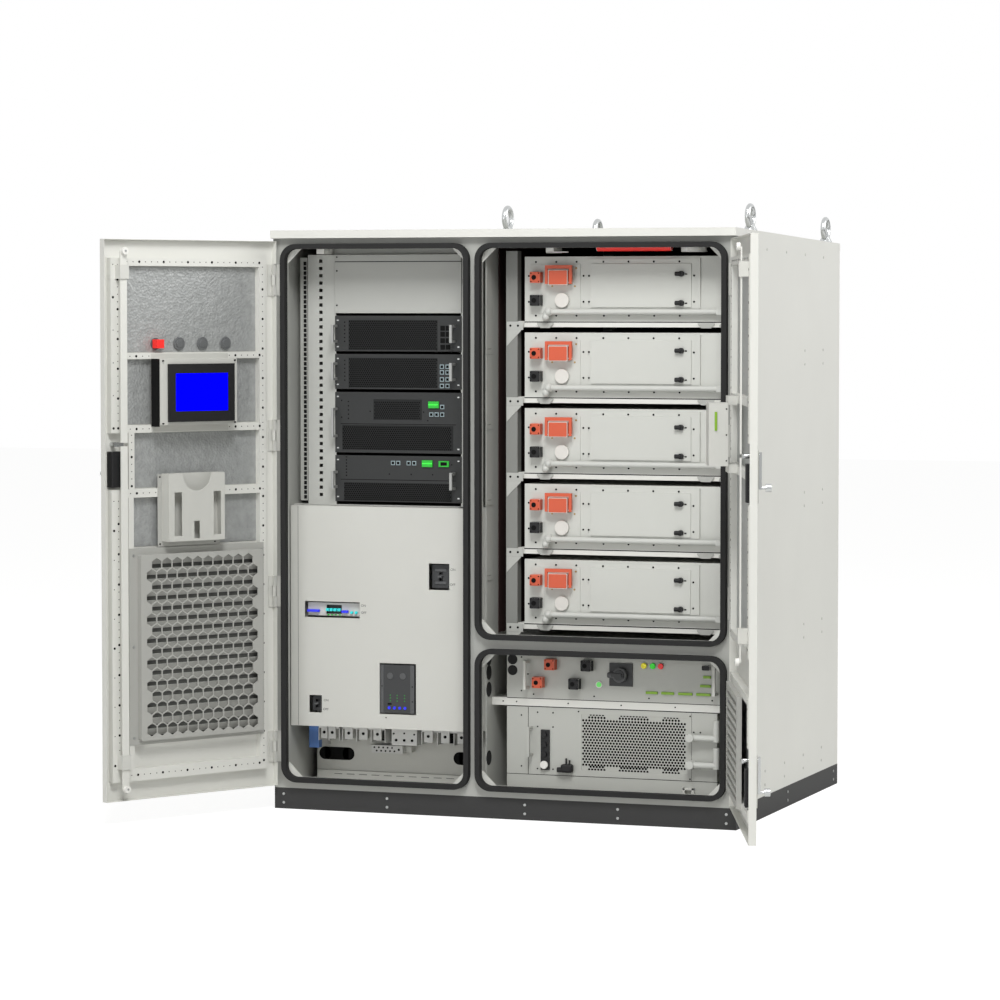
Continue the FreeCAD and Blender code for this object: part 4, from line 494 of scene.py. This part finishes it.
for side, sign, place, end, level in ROLLERS:
    name = f"{side}_{end}_roller"
    roller = disc(name, (sign * place, 44.2, level), 12.6, 12.8, "y", 0.001, 32)
    hub = disc(f"{name}_hub", (sign * place, 51, level), 4, 2.4, "y", 0.0004, 16)
    dress(hang(roller, side), nylon, f"{side}_{end}_rod")
    dress(hang(hub, side), screw_steel, f"{side}_{end}_rod")

# Control box on the right door: pale moulded case with a green plug strip and three screws
# on the end that faces forwards.
box_plastic = coated("Grey moulded case", "#C6C6C0", 0.45)
wear(["door_control_box"], box_plastic)
olive_plastic = coated("Green plug strip, olive", "#7FA82E", 0.45)
strip = slab("door_box_plugs", (-403, 80.4, 1379), (-400.2, 89.1, 1441), 0.0008)
dress(hang(strip, "right"), olive_plastic, "right_door")
marks = [disc("screw", (-400.4, 50, z), 2.6, 1.4, "x", 0, 12) for z in (1450, 1365, 1280)]
dress(hang(merge("door_box_screws", marks), "right"), black_and_hole_shade, "right_door")

# Rack modules: steel cases in a dark textured paint, with punched front meshes, keys, ports
# and green plug strips. The blanking panel above them is light grey.
rack_paint = coated("Textured paint, black grey", "#353636", 0.55, 0.0016, 0.15, shine=0.25)
wear(["rack_modules"], rack_paint)
wear(["rack_handles"], coated("Satin zinc plate, handles", "#A3A4A2", 0.5, metal=0.4))
green_plastic = coated("Green plug strip", "#20B92E", 0.45)
RACK = FRONT + 126
panel_coat = coated("Powder coated steel, blanking panel", "#ABACA7", 0.45)
blank = slab("blanking_face", (-671, RACK - 2.5, 1763), (-191, RACK - 0.2, 1944), 0.0006)
dress(blank, panel_coat, "cabinet")
rail_face = slab("blanking_rail", (-671, RACK - 4, 1947), (-191, RACK - 0.2, 1970.4), 0.0006)
dress(rail_face, frame_coat, "cabinet")


def mesh_field(name, left, right, low, high, face, pitch, radius, finish):
    """A field of punched holes in staggered rows on a front face."""
    rise = pitch * 0.866
    across = int((right - left) / pitch)
    up = max(2, int((high - low) / rise))
    even = disc("hole", (left + pitch / 2, face, low + pitch / 2), radius, 0.6, "y", 0, 6)
    repeat(even, across, (pitch, 0, 0))
    repeat(even, (up + 1) // 2, (0, 0, 2 * rise))
    odd = disc("hole", (left + pitch, face, low + pitch / 2 + rise), radius, 0.6, "y", 0, 6)
    repeat(odd, across - 1, (pitch, 0, 0))
    repeat(odd, up // 2, (0, 0, 2 * rise))
    return dress(merge(name, [even, odd]), finish, "cabinet")


mesh_paint = coated("Dark paint of the meshes", "#222323", 0.6, shine=0.2)
deep_black = coated("Shadow behind mesh", "#0C0C0C", 0.9, shine=0.05)
fields = ((-619, -281, 1633, 1739), (-619, -281, 1499, 1605), (-644, -222, 1278, 1366),
          (-638, -226, 1097, 1162))
backs = [slab("mesh", (left + 0.4, RACK + 0.4, low + 0.4), (right - 0.4, RACK + 1.6, high - 0.4), 0)
         for left, right, low, high in fields]
backs.append(slab("mesh", (-524, RACK - 1.2, 1386), (-341, RACK - 0.2, 1458), 0.0004))
dress(merge("rack_mesh_sheets", backs), mesh_paint, "cabinet")
for number, field in enumerate(fields):
    mesh_field(f"rack_mesh_{number}", *field, RACK + 0.3, 8, 2.9, deep_black)
mesh_field("rack_mesh_4", -522, -343, 1388, 1457, RACK - 1.3, 8, 2.7, deep_black)
ports, sockets, dots, slots = [], [], [], []
for column in (-270, -250):
    for z in (1702, 1680.5, 1658, 1635):
        sockets.append(slab("key", (column, RACK - 1.6, z), (column + 17, RACK - 0.1, z + 17),
                            0.0006))
port_places = [(x, z) for x in (-272, -251) for z in (1567, 1547, 1522, 1499)]
port_places += [(-271, 1425), (-312, 1398), (-292, 1398), (-271, 1398)]
port_places += [(x, 1225) for x in (-457.5, -437.5, -398, -377)]
# The black square inside each port is painted shade.
for x, z in port_places:
    ports.append(slab("port", (x, RACK - 2, z), (x + 15.5, RACK - 0.1, z + 15.5), 0.0006))
    sockets.append(slab("port", (x + 3, RACK - 2.6, z + 3), (x + 12.5, RACK - 1.9, z + 12.5), 0))
sockets.append(slab("plug", (-268, RACK - 7.4, 1226), (-244, RACK - 6, 1238), 0.003))
for x, top, count, pitch in ((-634, 1731, 6, 13.6), (-634, 1595, 6, 14), (-620, 1449, 5, 15),
                             (-628, 1252, 7, 11)):
    dots.append(repeat(disc("dot", (x, RACK - 0.3, top), 2.6, 0.8, "y", 0, 10), count,
                       (0, 0, -pitch)))
for x, z in ((-284, 1731), (-284, 1634), (-284, 1597), (-284, 1505), (-646, 1453), (-646, 1393),
             (-537, 1415), (-334, 1414), (-318, 1384), (-464, 1193), (-381, 1193), (-300, 1193),
             (-228, 1229)):
    dots.append(disc("dot", (x, RACK - 0.3, z), 2.4, 0.8, "y", 0, 10))
for x, z in ((-662, 1962), (-662, 1913), (-662, 1791)):
    dots.append(disc("dot", (x, RACK - 4.4, z), 3, 1, "y", 0, 10))
dots.append(slab("seam", (-650, RACK - 0.5, 1369), (-212, RACK - 0.1, 1371), 0))
dots.append(slab("seam", (-650, RACK - 0.5, 1171), (-212, RACK - 0.1, 1173), 0))
for low, high in ((1628, 1754), (1494, 1618), (1268, 1483), (1094, 1258)):
    for x in (-664, -206):
        for z in (low + 16, high - 16):
            slots.append(slab("slot", (x, RACK - 0.6, z - 2.2), (x + 7, RACK - 0.1, z + 2.2), 0))
dress(merge("rack_ports", ports), coated("Port rims, pale metal", "#8FA0A4", 0.4), "cabinet")
dress(merge("rack_keys", sockets), black_and_hole_shade, "cabinet")
dress(merge("rack_dots", dots), black_and_hole_shade, "cabinet")
dress(merge("rack_screw_slots", slots), screw_steel, "cabinet")
plugs = [slab("plug", (-315, RACK - 6, 1428), (-275, RACK - 0.1, 1452), 0.001),
         slab("plug", (-339, RACK - 6, 1220), (-299, RACK - 0.1, 1244), 0.001),
         slab("plug", (-276, RACK - 6, 1221), (-237, RACK - 0.1, 1242), 0.001)]
dress(merge("rack_plugs", plugs), green_plastic, "cabinet")
ridges = [slab("ridge", (-314, RACK - 7, 1438), (-276, RACK - 5.8, 1442.5), 0),
          slab("ridge", (-338, RACK - 7, 1230), (-300, RACK - 5.8, 1234.5), 0)]
dress(merge("rack_plug_ridges", ridges), coated("Plug ridge, light green", "#3DFF45", 0.4),
      "cabinet")

# Cable duct: grey moulded PVC beside the rack, with a comb of slots along its front. The
# slots are a column of black patches: painted shade inside them.
duct_pvc = coated("Grey PVC", "#A6A7A2", 0.55)
wear(["cable_duct"], duct_pvc)
duct_slot = slab("duct_slots", (-793, FRONT + 129, 1100), (-782, FRONT + 129.8, 1113), 0)
dress(repeat(duct_slot, 50, (0, 0, 17)), black_and_hole_shade, "cabinet")

# Header and floor of the left compartment: a sheet closes the gap above the rack, and a
# gland plate lies on the floor in front of a low step with louvres.
head = slab("equipment_header", (-690, FRONT + 150, 1972), (-132, FRONT + 152, 2008), 0.0006)
dress(head, frame_coat, "cabinet")
floor_plate = slab("gland_plate", (-798, FRONT + 10, 78.6), (-132, 620, 80.6), 0.0006)
dress(floor_plate, coat, "cabinet")
step = slab("floor_step", (-798, FRONT + 257, 80.8), (-132, FRONT + 262, 111.4), 0.0006)
dress(step, coat, "cabinet")
louvre = slab("floor_louvres", (-730, FRONT + 256.2, 98), (-700, FRONT + 256.8, 100.6), 0)
dress(repeat(louvre, 12, (48, 0, 0)), post_coat, "cabinet")

# Distribution section: breakers, transfer switch panel and terminals behind a light cover.
# The small breakers have a pale body with blue and cyan levers.
switch_plastic = coated("Light grey moulded switchgear", "#CFCFCC", 0.4)
panel_plastic = coated("Dark panel, moulded", "#3D3E3F", 0.5, shine=0.3)
wear(["switchgear"], panel_plastic)
wear(["grid_breaker_toggle", "load_breaker_toggle"], lamp_plastic)
wear(["terminal_bars"], switch_plastic)
COVER = FRONT + 80
BREAKER = FRONT + 100
TRANSFER = FRONT + 76
LUG = FRONT + 140
EARTH = FRONT + 200
PLATE = FRONT + 264
blue_plastic = coated("Blue moulded plastic", "#2B35FF", 0.4)
cyan_plastic = coated("Cyan moulded plastic", "#35E6E8", 0.4)
wear(["din_breaker_toggle"], cyan_plastic)
pale = [slab("din", (-766, BREAKER - 1, 685), (-694.5, BREAKER - 0.1, 732), 0.0004),
        slab("din", (-636.5, BREAKER - 1, 685), (-565, BREAKER - 0.1, 732), 0.0004),
        slab("din", (-694.4, BREAKER - 1, 724.4), (-636.6, BREAKER - 0.1, 732), 0.0004),
        slab("din", (-694.4, BREAKER - 1, 685), (-636.6, BREAKER - 0.1, 692.6), 0.0004)]
dress(merge("din_faces", pale), switch_plastic, "cabinet")
blue_marks = [slab("mark", (-765, BREAKER - 14, 698), (-719, BREAKER - 1, 707), 0.001),
              slab("mark", (-633, BREAKER - 14, 697), (-609, BREAKER - 1, 706), 0.001)]
blue_marks += [disc("button", (x, TRANSFER - 1, 366), 5.5, 3, "y", 0.0006, 20)
               for x in (-446, -426, -406, -386)]
dress(merge("blue_levers", blue_marks), blue_plastic, "cabinet")
cyan_marks = [disc("mark", (x, BREAKER - 6, 699), 5, 10, "y", 0.001, 24) for x in (-596, -579)]
dress(merge("cyan_buttons", cyan_marks), cyan_plastic, "cabinet")
gang = [slab("lever", (-693 + 14.6 * number, BREAKER - 14, 702.6),
             (-682 + 14.6 * number, BREAKER - 2, 712.4), 0.001) for number in range(4)]
levers = dress(merge("auxiliary_levers", gang), cyan_plastic, "auxiliary_toggle")
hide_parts("din_breaker_toggle")
greens = [slab("mark", (-692 + 14.6 * number, BREAKER - 1.6, 686.5),
               (-683 + 14.6 * number, BREAKER - 0.9, 691), 0) for number in range(4)]
dress(merge("breaker_flags", greens), green_plastic, "cabinet")
fold = slab("cover_fold", (-797, COVER - 0.3, 292), (-795.6, COVER - 0.1, 1076), 0)
dress(fold, lamp_plastic, "cabinet")
signal_dots = [disc("dot", (x, TRANSFER - 0.4, z), 2.2, 1, "y", 0, 10)
               for x in (-442, -416, -388) for z in (411, 401, 391)]
dress(merge("transfer_lamps", signal_dots), coated("Green signal dots", "#1E8A2A", 0.4), "cabinet")
bosses = [disc("boss", (x, TRANSFER - 1, 480), 12, 3, "y", 0.001, 32) for x in (-442, -394)]
bosses += [slab("rib", (-479, TRANSFER - 1.6, 348), (-467, TRANSFER - 0.1, 519), 0.0004),
           slab("rib", (-366, TRANSFER - 1.6, 348), (-351, TRANSFER - 0.1, 519), 0.0004),
           slab("frame", (-280, BREAKER - 3, 808), (-237, BREAKER - 0.2, 818), 0.001),
           slab("frame", (-280, BREAKER - 3, 853), (-237, BREAKER - 0.2, 863), 0.001)]
dress(merge("switch_bosses", bosses), lamp_plastic, "cabinet")
# The holes and slots among these black marks are painted shade.
dark_marks = [slab("slot", (-452, TRANSFER - 0.8, 377), (-437, TRANSFER - 0.1, 383), 0)]
dark_marks += [disc("dot", (x, TRANSFER - 1.8, z), 2.4, 0.8, "y", 0, 10)
               for x, z in ((-473, 443), (-358, 443), (-358, 390))]
dark_marks.append(disc("dot", (-460, COVER - 0.2, 330), 2.4, 0.8, "y", 0, 10))
lug_middles = (-721.5, -690.5, -627, -571, -516.5, -322.5, -258.5, -197)
dark_marks += [disc("bolt", (x, LUG - 0.6, 262), 5.4, 2, "y", 0, 20) for x in lug_middles]
dark_marks += [disc("hole", (x, LUG - 0.6, z), r, 2, "y", 0, 16)
               for x, z, r in ((-454, 267, 3.4), (-414, 269, 3.4), (-376, 266, 3.4), (-445, 244, 5),
                               (-414, 244, 5), (-384, 244, 5))]
for start, z in ((-552, 208), (-543, 196)):
    dark_marks += [disc("hole", (start + 17 * number, EARTH - 0.6, z), 3.2, 2, "y", 0, 14)
                   for number in range(5)]
dark_marks.append(disc("hole", (-458, EARTH - 0.6, 202), 4, 2, "y", 0, 14))
for left, right, low, high in ((-769, -678, 149, 195), (-250, -190, 149, 195),
                               (-560, -470, 225, 262), (-310, -180, 225, 262)):
    dark_marks.append(slab("slot", (left, PLATE - 1, low), (right, PLATE - 0.2, high), 0))
    for x in (left, right):
        dark_marks.append(disc("slot", (x, PLATE - 0.6, (low + high) / 2), (high - low) / 2, 0.8,
                               "y", 0, 32))
dark_marks.append(slab("slot", (-190, FRONT + 90, 1080.4), (-170, FRONT + 120, 1081), 0))
dress(merge("distribution_marks", dark_marks), black_and_hole_shade, "cabinet")
blue_block = slab("surge_block", (-784.4, FRONT + 149, 203.6), (-746.6, FRONT + 180, 289), 0.001)
dress(blue_block, coated("Surge arrester, muted blue", "#4F74B0", 0.45), "cabinet")
ears = [slab("ear", (-580, FRONT + 226, 191), (-563.4, PLATE - 1, 213), 0.001),
        slab("ear", (-443.6, FRONT + 226, 191), (-419, PLATE - 1, 213), 0.001)]
louvre = slab("louvre", (-700, FRONT + 150, 78), (-668, FRONT + 158, 80.4), 0.0006)
ears.append(repeat(louvre, 10, (52, 0, 0)))
dress(merge("earth_ears_and_louvres", ears), inner_coat, "cabinet")


def label(name, text, place, height):
    """A word printed on a front face."""
    bpy.ops.object.select_all(action="DESELECT")
    bpy.ops.object.text_add(location=[c / 1000 for c in place], rotation=(math.pi / 2, 0, 0))
    word = bpy.context.object
    word.data.body = text
    word.data.size = height / 1000
    word.data.extrude = 0.0001
    bpy.ops.object.convert(target="MESH")
    return settle(name, 0)


words = [label("word", text, (x, COVER - 0.3, z), 12)
         for text, x, z in (("ON", -216, 858), ("OFF", -218, 805), ("ON", -555, 722),
                            ("OFF", -555, 697), ("ON", -699, 380), ("OFF", -701, 348))]
ink = coated("Grey print", "#555654", 0.6)
dress(merge("switch_words", words), ink, "cabinet")

# Battery packs: grey painted steel boxes. Each front has an orange and a black socket, an
# orange service plug, a white pressure valve, two screwed plates and a coolant pipe.
pack_paint = coated("Satin paint, pack grey", "#C4C5BF", 0.42)
wear(["battery_packs"], pack_paint)
orange_plastic = coated("Orange moulded plastic", "#CC5432", 0.45)
wear([f"service_lever_{number}" for number in range(1, 6)], orange_plastic)
wear(["pack_fittings"], pack_paint)
hose_rubber = coated("Coolant hose, pale grey", "#C2C3BE", 0.4)
wear(["coolant_pipes"], hose_rubber)
brass = coated("Yellow passivated screws", "#9A8250", 0.4, metal=0.8)


def ball(middle, radius):
    """A smooth ball centred on a point in millimetres."""
    bpy.ops.object.select_all(action="DESELECT")
    bpy.ops.mesh.primitive_uv_sphere_add(segments=28, ring_count=16, radius=radius / 1000,
                                         location=[c / 1000 for c in middle])
    bpy.ops.object.shade_smooth()
    return settle("ball", 0)


PACK = FRONT + 112
PACK_PITCH = 264
orange_pieces, black_pieces, white_pieces, black_dots = [], [], [], []
plates, elbows, brass_screws = [], [], []
for number in range(5):
    drop = PACK_PITCH * number
    orange_pieces.append(slab("socket", (78.4, PACK - 33, 1868.4 - drop),
                              (117.6, PACK - 1, 1907.6 - drop), 0.003))
    orange_pieces.append(slab("plug", (147.4, PACK - 37, 1860.4 - drop),
                              (219.6, PACK - 1, 1914.6 - drop), 0.005))
    orange_pieces.append(disc("rim", (98, PACK - 33.6, 1888 - drop), 12.5, 2, "y", 0.0006, 28))
    black_pieces.append(slab("socket", (78.4, PACK - 33, 1788.4 - drop),
                             (117.6, PACK - 1, 1827.6 - drop), 0.003))
    for z in (1888, 1808):
        black_dots.append(disc("core", (95, PACK - 35, z - drop), 8.5, 3, "y", 0.0006, 24))
        black_dots += [disc("screw", (98 + x, PACK - 33.4, z + y - drop), 2.2, 1.2, "y", 0, 8)
                       for x in (-14, 14) for y in (-14, 14)]
    for z in (1899, 1799):
        black_pieces.append(disc("connector", (624, PACK - 14, z - drop), 10, 15, "y", 0.001, 20))
        black_pieces.append(disc("barrel", (614, PACK - 18, z - drop), 7.5, 22, "x", 0.001, 20))
        black_pieces.append(disc("nub", (640, PACK - 9, z - 1 - drop), 2.5, 8, "x", 0, 8))
    white_pieces.append(disc("valve", (190, PACK - 10, 1808 - drop), 25.6, 6, "y", 0.0015, 44))
    plates.append(slab("plate", (72.5, PACK - 2.4, 1763 - drop), (255.5, PACK - 0.1, 1934 - drop),
                       0.0008))
    plates.append(slab("plate", (296, PACK - 9, 1783 - drop), (659, PACK - 5.9, 1935 - drop),
                       0.001))
    brass_screws += [disc("screw", (x, PACK - 3.2, z - drop), 3.4, 2, "y", 0.0004, 12)
                     for x, z in ((152, 1857), (235, 1857), (240, 1920))]
    for z in (1941.5, 1755):
        black_dots += [disc("screw", (x, PACK - 0.6, z - drop), 3.6, 1.6, "y", 0.0004, 12)
                       for x in (91, 166, 240.5)]
        level = PACK - 6.6 if z > 1900 else PACK - 0.6
        black_dots += [disc("screw", (x, level, z - drop), 3.6, 1.6, "y", 0.0004, 12)
                       for x in (340.5, 431.5, 523, 615)]
    for x, proud in ((65, 0.6), (266, 0.6), (288, 6.6), (668, 6.6)):
        black_dots += [disc("screw", (x, PACK - proud, z - drop), 3.6, 1.6, "y", 0.0004, 12)
                       for z in (1893, 1803)]
    # The thin black line under each pack is painted shade in the gap above its shelf beam.
    black_dots.append(slab("line", (50, FRONT + 107.8, 1731 - drop),
                           (780, FRONT + 108.6, 1734.6 - drop), 0))
    black_dots += [disc("screw", (x, FRONT + 96.4, 1720 - drop), 4, 1.6, "y", 0, 12)
                   for x in (2, 30)]
    for x, radius, span in ((145, 14.6, 28), (135, 10.8, 12)):
        elbows.append(disc("boss", (x, FRONT + 98, 1768 - drop), radius, span, "y", 0.003, 32))
    elbows.append(disc("drop", (135, FRONT + 90, 1759 - drop), 9.6, 18, "z", 0.002, 28))
    for x, z, radius in ((145, 1768, 13.5), (135, 1750, 13)):
        elbows.append(ball((x, FRONT + 89, z - drop), radius))
dress(merge("pack_orange_parts", orange_pieces), orange_plastic, "cabinet")
dress(merge("pack_black_parts", black_pieces), black_plastic, "cabinet")
dress(merge("pack_black_screws", black_dots), black_and_hole_shade, "cabinet")
dress(merge("pack_valves", white_pieces), coated("White valve cap", "#D6D3CD", 0.5), "cabinet")
dress(merge("pack_plates", plates), pack_paint, "cabinet")
dress(merge("pack_elbows", elbows), hose_rubber, "cabinet")
dress(merge("pack_brass_screws", brass_screws), brass, "cabinet")

# Pack shelves: beams with two retaining clips, and the plates and gussets that carry them
# on the left posts.
fittings, clips = [], []
for number in range(5):
    drop = PACK_PITCH * number
    fittings.append(slab("plate", (-12, FRONT + 96.8, 1705 - drop), (49, FRONT + 99.8, 1734 - drop),
                         0.0006))
    gusset = slab("gusset", (-12, FRONT + 97.6, 1645 - drop), (40, FRONT + 99.8, 1704.8 - drop), 0)
    fittings.append(trimmed(gusset, (14, FRONT, 1675 - drop), (60, 0, -52)))
    for x in (128, 712):
        clip = slab("clip", (x - 30, FRONT + 103, 1712 - drop),
                    (x + 30, FRONT + 105.8, 1730 - drop), 0)
        trimmed(clip, (x - 26, FRONT, 1721 - drop), (-2, 0, -1))
        clips.append(trimmed(clip, (x + 26, FRONT, 1721 - drop), (2, 0, -1)))
    clips.append(disc("bolt", (766, FRONT + 102, 1720 - drop), 6.5, 7, "y", 0.001, 6))
dress(merge("shelf_plates", fittings), wall_coat, "cabinet")
dress(merge("shelf_clips", clips), frame_coat, "cabinet")

# Linings of the battery bay: dark sheet on the partition and at the back, and black foam
# under the ceiling.
bay_dark = coated("Dark brown insulating sheet", "#3A2A29", 0.9, 0.004, 0.1, 0.1, shine=0.1)
walls = [slab("lining", (-62.8, FRONT + 152, 640), (-60, 640, 2010), 0),
         slab("lining", (-62, 653, 640), (828, 656, 2010), 0)]
dress(merge("bay_lining", walls), bay_dark, "cabinet")
ceiling = slab("ceiling_lining", (-58, FRONT + 30, 2009), (830, 640, 2011.6), 0)
dress(ceiling, black_and_hole_shade, "cabinet")

# Stiffener plates: pale plates on the partition, one beside each pack, with three small
# holes in a row.
stays, stay_dots = [], []
for number in range(5):
    low = 1622 - PACK_PITCH * number
    stays.append(slab("stay", (-62.9, FRONT + 22, low), (-60.8, FRONT + 90, low + 36), 0.0006))
    stay_dots += [disc("hole", (-60.8, FRONT + 40 + 14 * place, low + 17), 2, 0.8, "x", 0, 10)
                  for place in range(3)]
dress(merge("partition_stays", stays), wall_coat, "cabinet")
# The small holes in the stays are black discs: painted shade.
dress(merge("partition_stay_holes", stay_dots), black_and_hole_shade, "cabinet")

# High voltage box: a grey case with a black rotary switch, indicator lamps in yellow, green
# and red, orange and black sockets and green plugs.
low_paint = coated("Satin paint, control box", "#B2B3AD", 0.45)
wear(["hv_box"], low_paint)
wear(["hv_fittings"], inner_coat)
wear(["rotary_knob"], panel_plastic)
wear(["hv_button"], coated("Lit green button", "#7DFF7A", 0.35))
LOW = FRONT + 90
black_low, orange_low, green_low, low_dots = [], [], [], []
knob_plate = slab("rotary_plate_face", (370.6, LOW - 4.4, 470.6), (455.4, LOW - 0.2, 551.4), 0.0004)
for x, z, group in ((159, 540, orange_low), (114, 476, orange_low), (293, 540, black_low),
                    (248, 475, black_low)):
    group.append(slab("socket", (x - 19.6, LOW - 33, z - 19.6), (x + 19.6, LOW - 1, z + 19.6),
                      0.003))
    group.append(disc("rim", (x, LOW - 33.6, z), 12, 2, "y", 0.0006, 28))
    low_dots.append(disc("core", (x - 3, LOW - 35, z), 8, 3, "y", 0.0006, 24))
    low_dots += [disc("screw", (x + a, LOW - 33.4, z + b), 2.2, 1.2, "y", 0, 8)
                 for a in (-14, 14) for b in (-14, 14)]
for left, right, z in ((504, 546, 452), (560, 605, 452), (621, 671, 452), (686, 736, 452),
                       (711, 737, 512.5), (700, 737, 481.5)):
    green_low.append(slab("plug", (left - 0.4, LOW - 6.6, z - 4.6),
                          (right + 0.4, LOW - 0.1, z + 4.6), 0.001))
black_low.append(slab("plug", (704.4, LOW - 6.8, 534.4), (735.6, LOW - 0.1, 553.6), 0.005))
dress(knob_plate, panel_plastic, "cabinet")
knob = [disc("knob", (413, LOW - 17, 511), 26, 17, "y", 0.003, 44),
        slab("knob", (368, LOW - 29, 500), (412, LOW - 12, 520), 0.006)]
dress(merge("rotary_handle", knob), lamp_plastic, "rotary_knob")
dress(merge("low_orange_sockets", orange_low), orange_plastic, "cabinet")
dress(merge("low_black_sockets", black_low), black_plastic, "cabinet")
dress(merge("low_green_plugs", green_low), olive_plastic, "cabinet")
ring = disc("button_ring", (333, LOW - 2.4, 474), 12.5, 4.6, "y", 0.001, 32)
dress(ring, nylon, "cabinet")
for x, name, code in ((497, "yellow", "#FFF000"), (529, "green", "#00F500"),
                      (558, "red", "#FF1010")):
    lens = disc(f"lamp_lens_{name}", (x, LOW - 7, 545), 10.5, 5, "y", 0.002, 28)
    dress(lens, coated(f"Tinted lens, {name}", code, 0.3), "cabinet")

# Chiller: light case with a dark punched field in three lobes, a fuse strip, a handle, a
# cable plug and two pale hoses.
wear(["chiller_unit"], low_paint)
chill_dark = coated("Shadow in the chiller", "#050505", 0.9, shine=0.05)
mesh_field("chiller_mesh", 268, 655, 186, 356, LOW + 1.4, 11.2, 4.3, chill_dark)
for number, (left, right) in enumerate(((290, 360), (402, 518), (560, 634))):
    mesh_field(f"chiller_mesh_top_{number}", left, right, 352, 370, LOW + 1.3, 11.2, 4.3,
               chill_dark)
    mesh_field(f"chiller_mesh_foot_{number}", left, right, 170, 186, LOW + 1.3, 11.2, 4.3,
               chill_dark)
chiller_black = [slab("fuse_strip", (119, LOW - 7, 168), (152, LOW - 0.1, 309), 0.002)]
chiller_black += [disc("fuse", (133, LOW - 11, z), 9.5, 9, "y", 0.001, 24) for z in (292, 257, 223)]
chiller_black += [slab("cable_plug", (198, LOW - 26, 163), (240, LOW - 0.1, 192), 0.006),
                  disc("barrel", (196, LOW - 16, 172), 9, 24, "x", 0.001, 20),
                  slab("clip", (212, LOW - 12, 192), (216, LOW - 2, 212), 0.001),
                  slab("clip", (224, LOW - 12, 192), (228, LOW - 2, 206), 0.001)]
dress(merge("chiller_black_parts", chiller_black), black_plastic, "cabinet")
cap = disc("fuse_cap", (133, LOW - 10, 186), 14, 7, "y", 0.001, 32)
dress(cap, nylon, "cabinet")
for x, z in ((46, 561), (70, 502), (46, 443), (91, 432), (314, 432), (514, 432), (742, 432),
             (314, 571), (514, 571), (46, 357), (46, 178), (106, 369), (163, 369), (106, 319),
             (163, 319), (106, 171), (163, 171), (257, 377), (663, 375), (663, 157), (676, 320),
             (700, 320), (676, 196), (700, 196)):
    low_dots.append(disc("screw", (x, LOW - 0.5, z), 2.8, 1.2, "y", 0, 12))
low_dots += [disc("screw", (x, LOW - 0.5, 404), 2.6, 1.2, "y", 0, 12)
             for x in (-22, 28, 219, 413, 609)]
low_dots += [slab("seam", (70.6, LOW - 0.4, 151), (72.4, LOW - 0.1, 386), 0),
             slab("seam", (668, LOW - 0.4, 151), (669, LOW - 0.1, 386), 0),
             slab("seam", (-8, LOW - 0.6, 416), (770, LOW - 0.1, 418), 0),
             slab("seam", (-8, LOW - 0.6, 387.6), (770, LOW - 0.1, 390.4), 0)]
grommets = [disc("grommet", (13, LOW - 0.5, z), 18, 1, "y", 0, 32) for z in (552, 514)]
grommets += [disc("grommet", (-62.6, FRONT + 55, z), 26, 1.2, "x", 0, 36)
             for z in (556, 506, 447, 206)]
dress(merge("low_screws_and_seams", low_dots), black_and_hole_shade, "cabinet")
dress(merge("cable_grommets", grommets), foam_rubber, "cabinet")
foot_seam = slab("chiller_foot_seam", (-8, LOW - 0.6, 149.2), (770, LOW - 0.1, 151), 0)
dress(foot_seam, black_and_hole_shade, "cabinet")
staple = [slab("staple", (640, LOW - 14, 101), (648, LOW - 2, 127), 0.001),
          slab("staple", (640, LOW - 14, 119.4), (680, LOW - 2, 127), 0.001),
          slab("staple", (672, LOW - 14, 101), (680, LOW - 2, 127), 0.001),
          slab("staple", (622, LOW - 16, 97), (698, LOW - 2, 101.6), 0.001)]
dress(merge("floor_staple", staple), inner_coat, "cabinet")
hose_ends = []
for z in (303, 209):
    hose_ends.append(disc("flange", (672, FRONT + 70, z), 14.5, 38, "y", 0.002, 32))
    hose_ends.append(ball((671, FRONT + 66, z), 14.5))
dress(merge("hose_ends", hose_ends), hose_rubber, "cabinet")

# Ceiling fittings of the battery bay: two lamp brackets, a red aerosol extinguisher and a
# smoke sensor.
wear(["ceiling_fittings"], nylon)
aerosol = disc("aerosol", (455, FRONT + 100, 1992), 14.6, 271, "x", 0.003, 32)
dress(aerosol, red_plastic, "cabinet")
arms = [slab("arm", (172, FRONT + 64, 1990), (230, FRONT + 74, 1994), 0.001),
        slab("arm", (150, FRONT + 60, 1973), (226, FRONT + 70, 1977), 0.001)]
dress(merge("lamp_arms", arms), nylon, "cabinet")
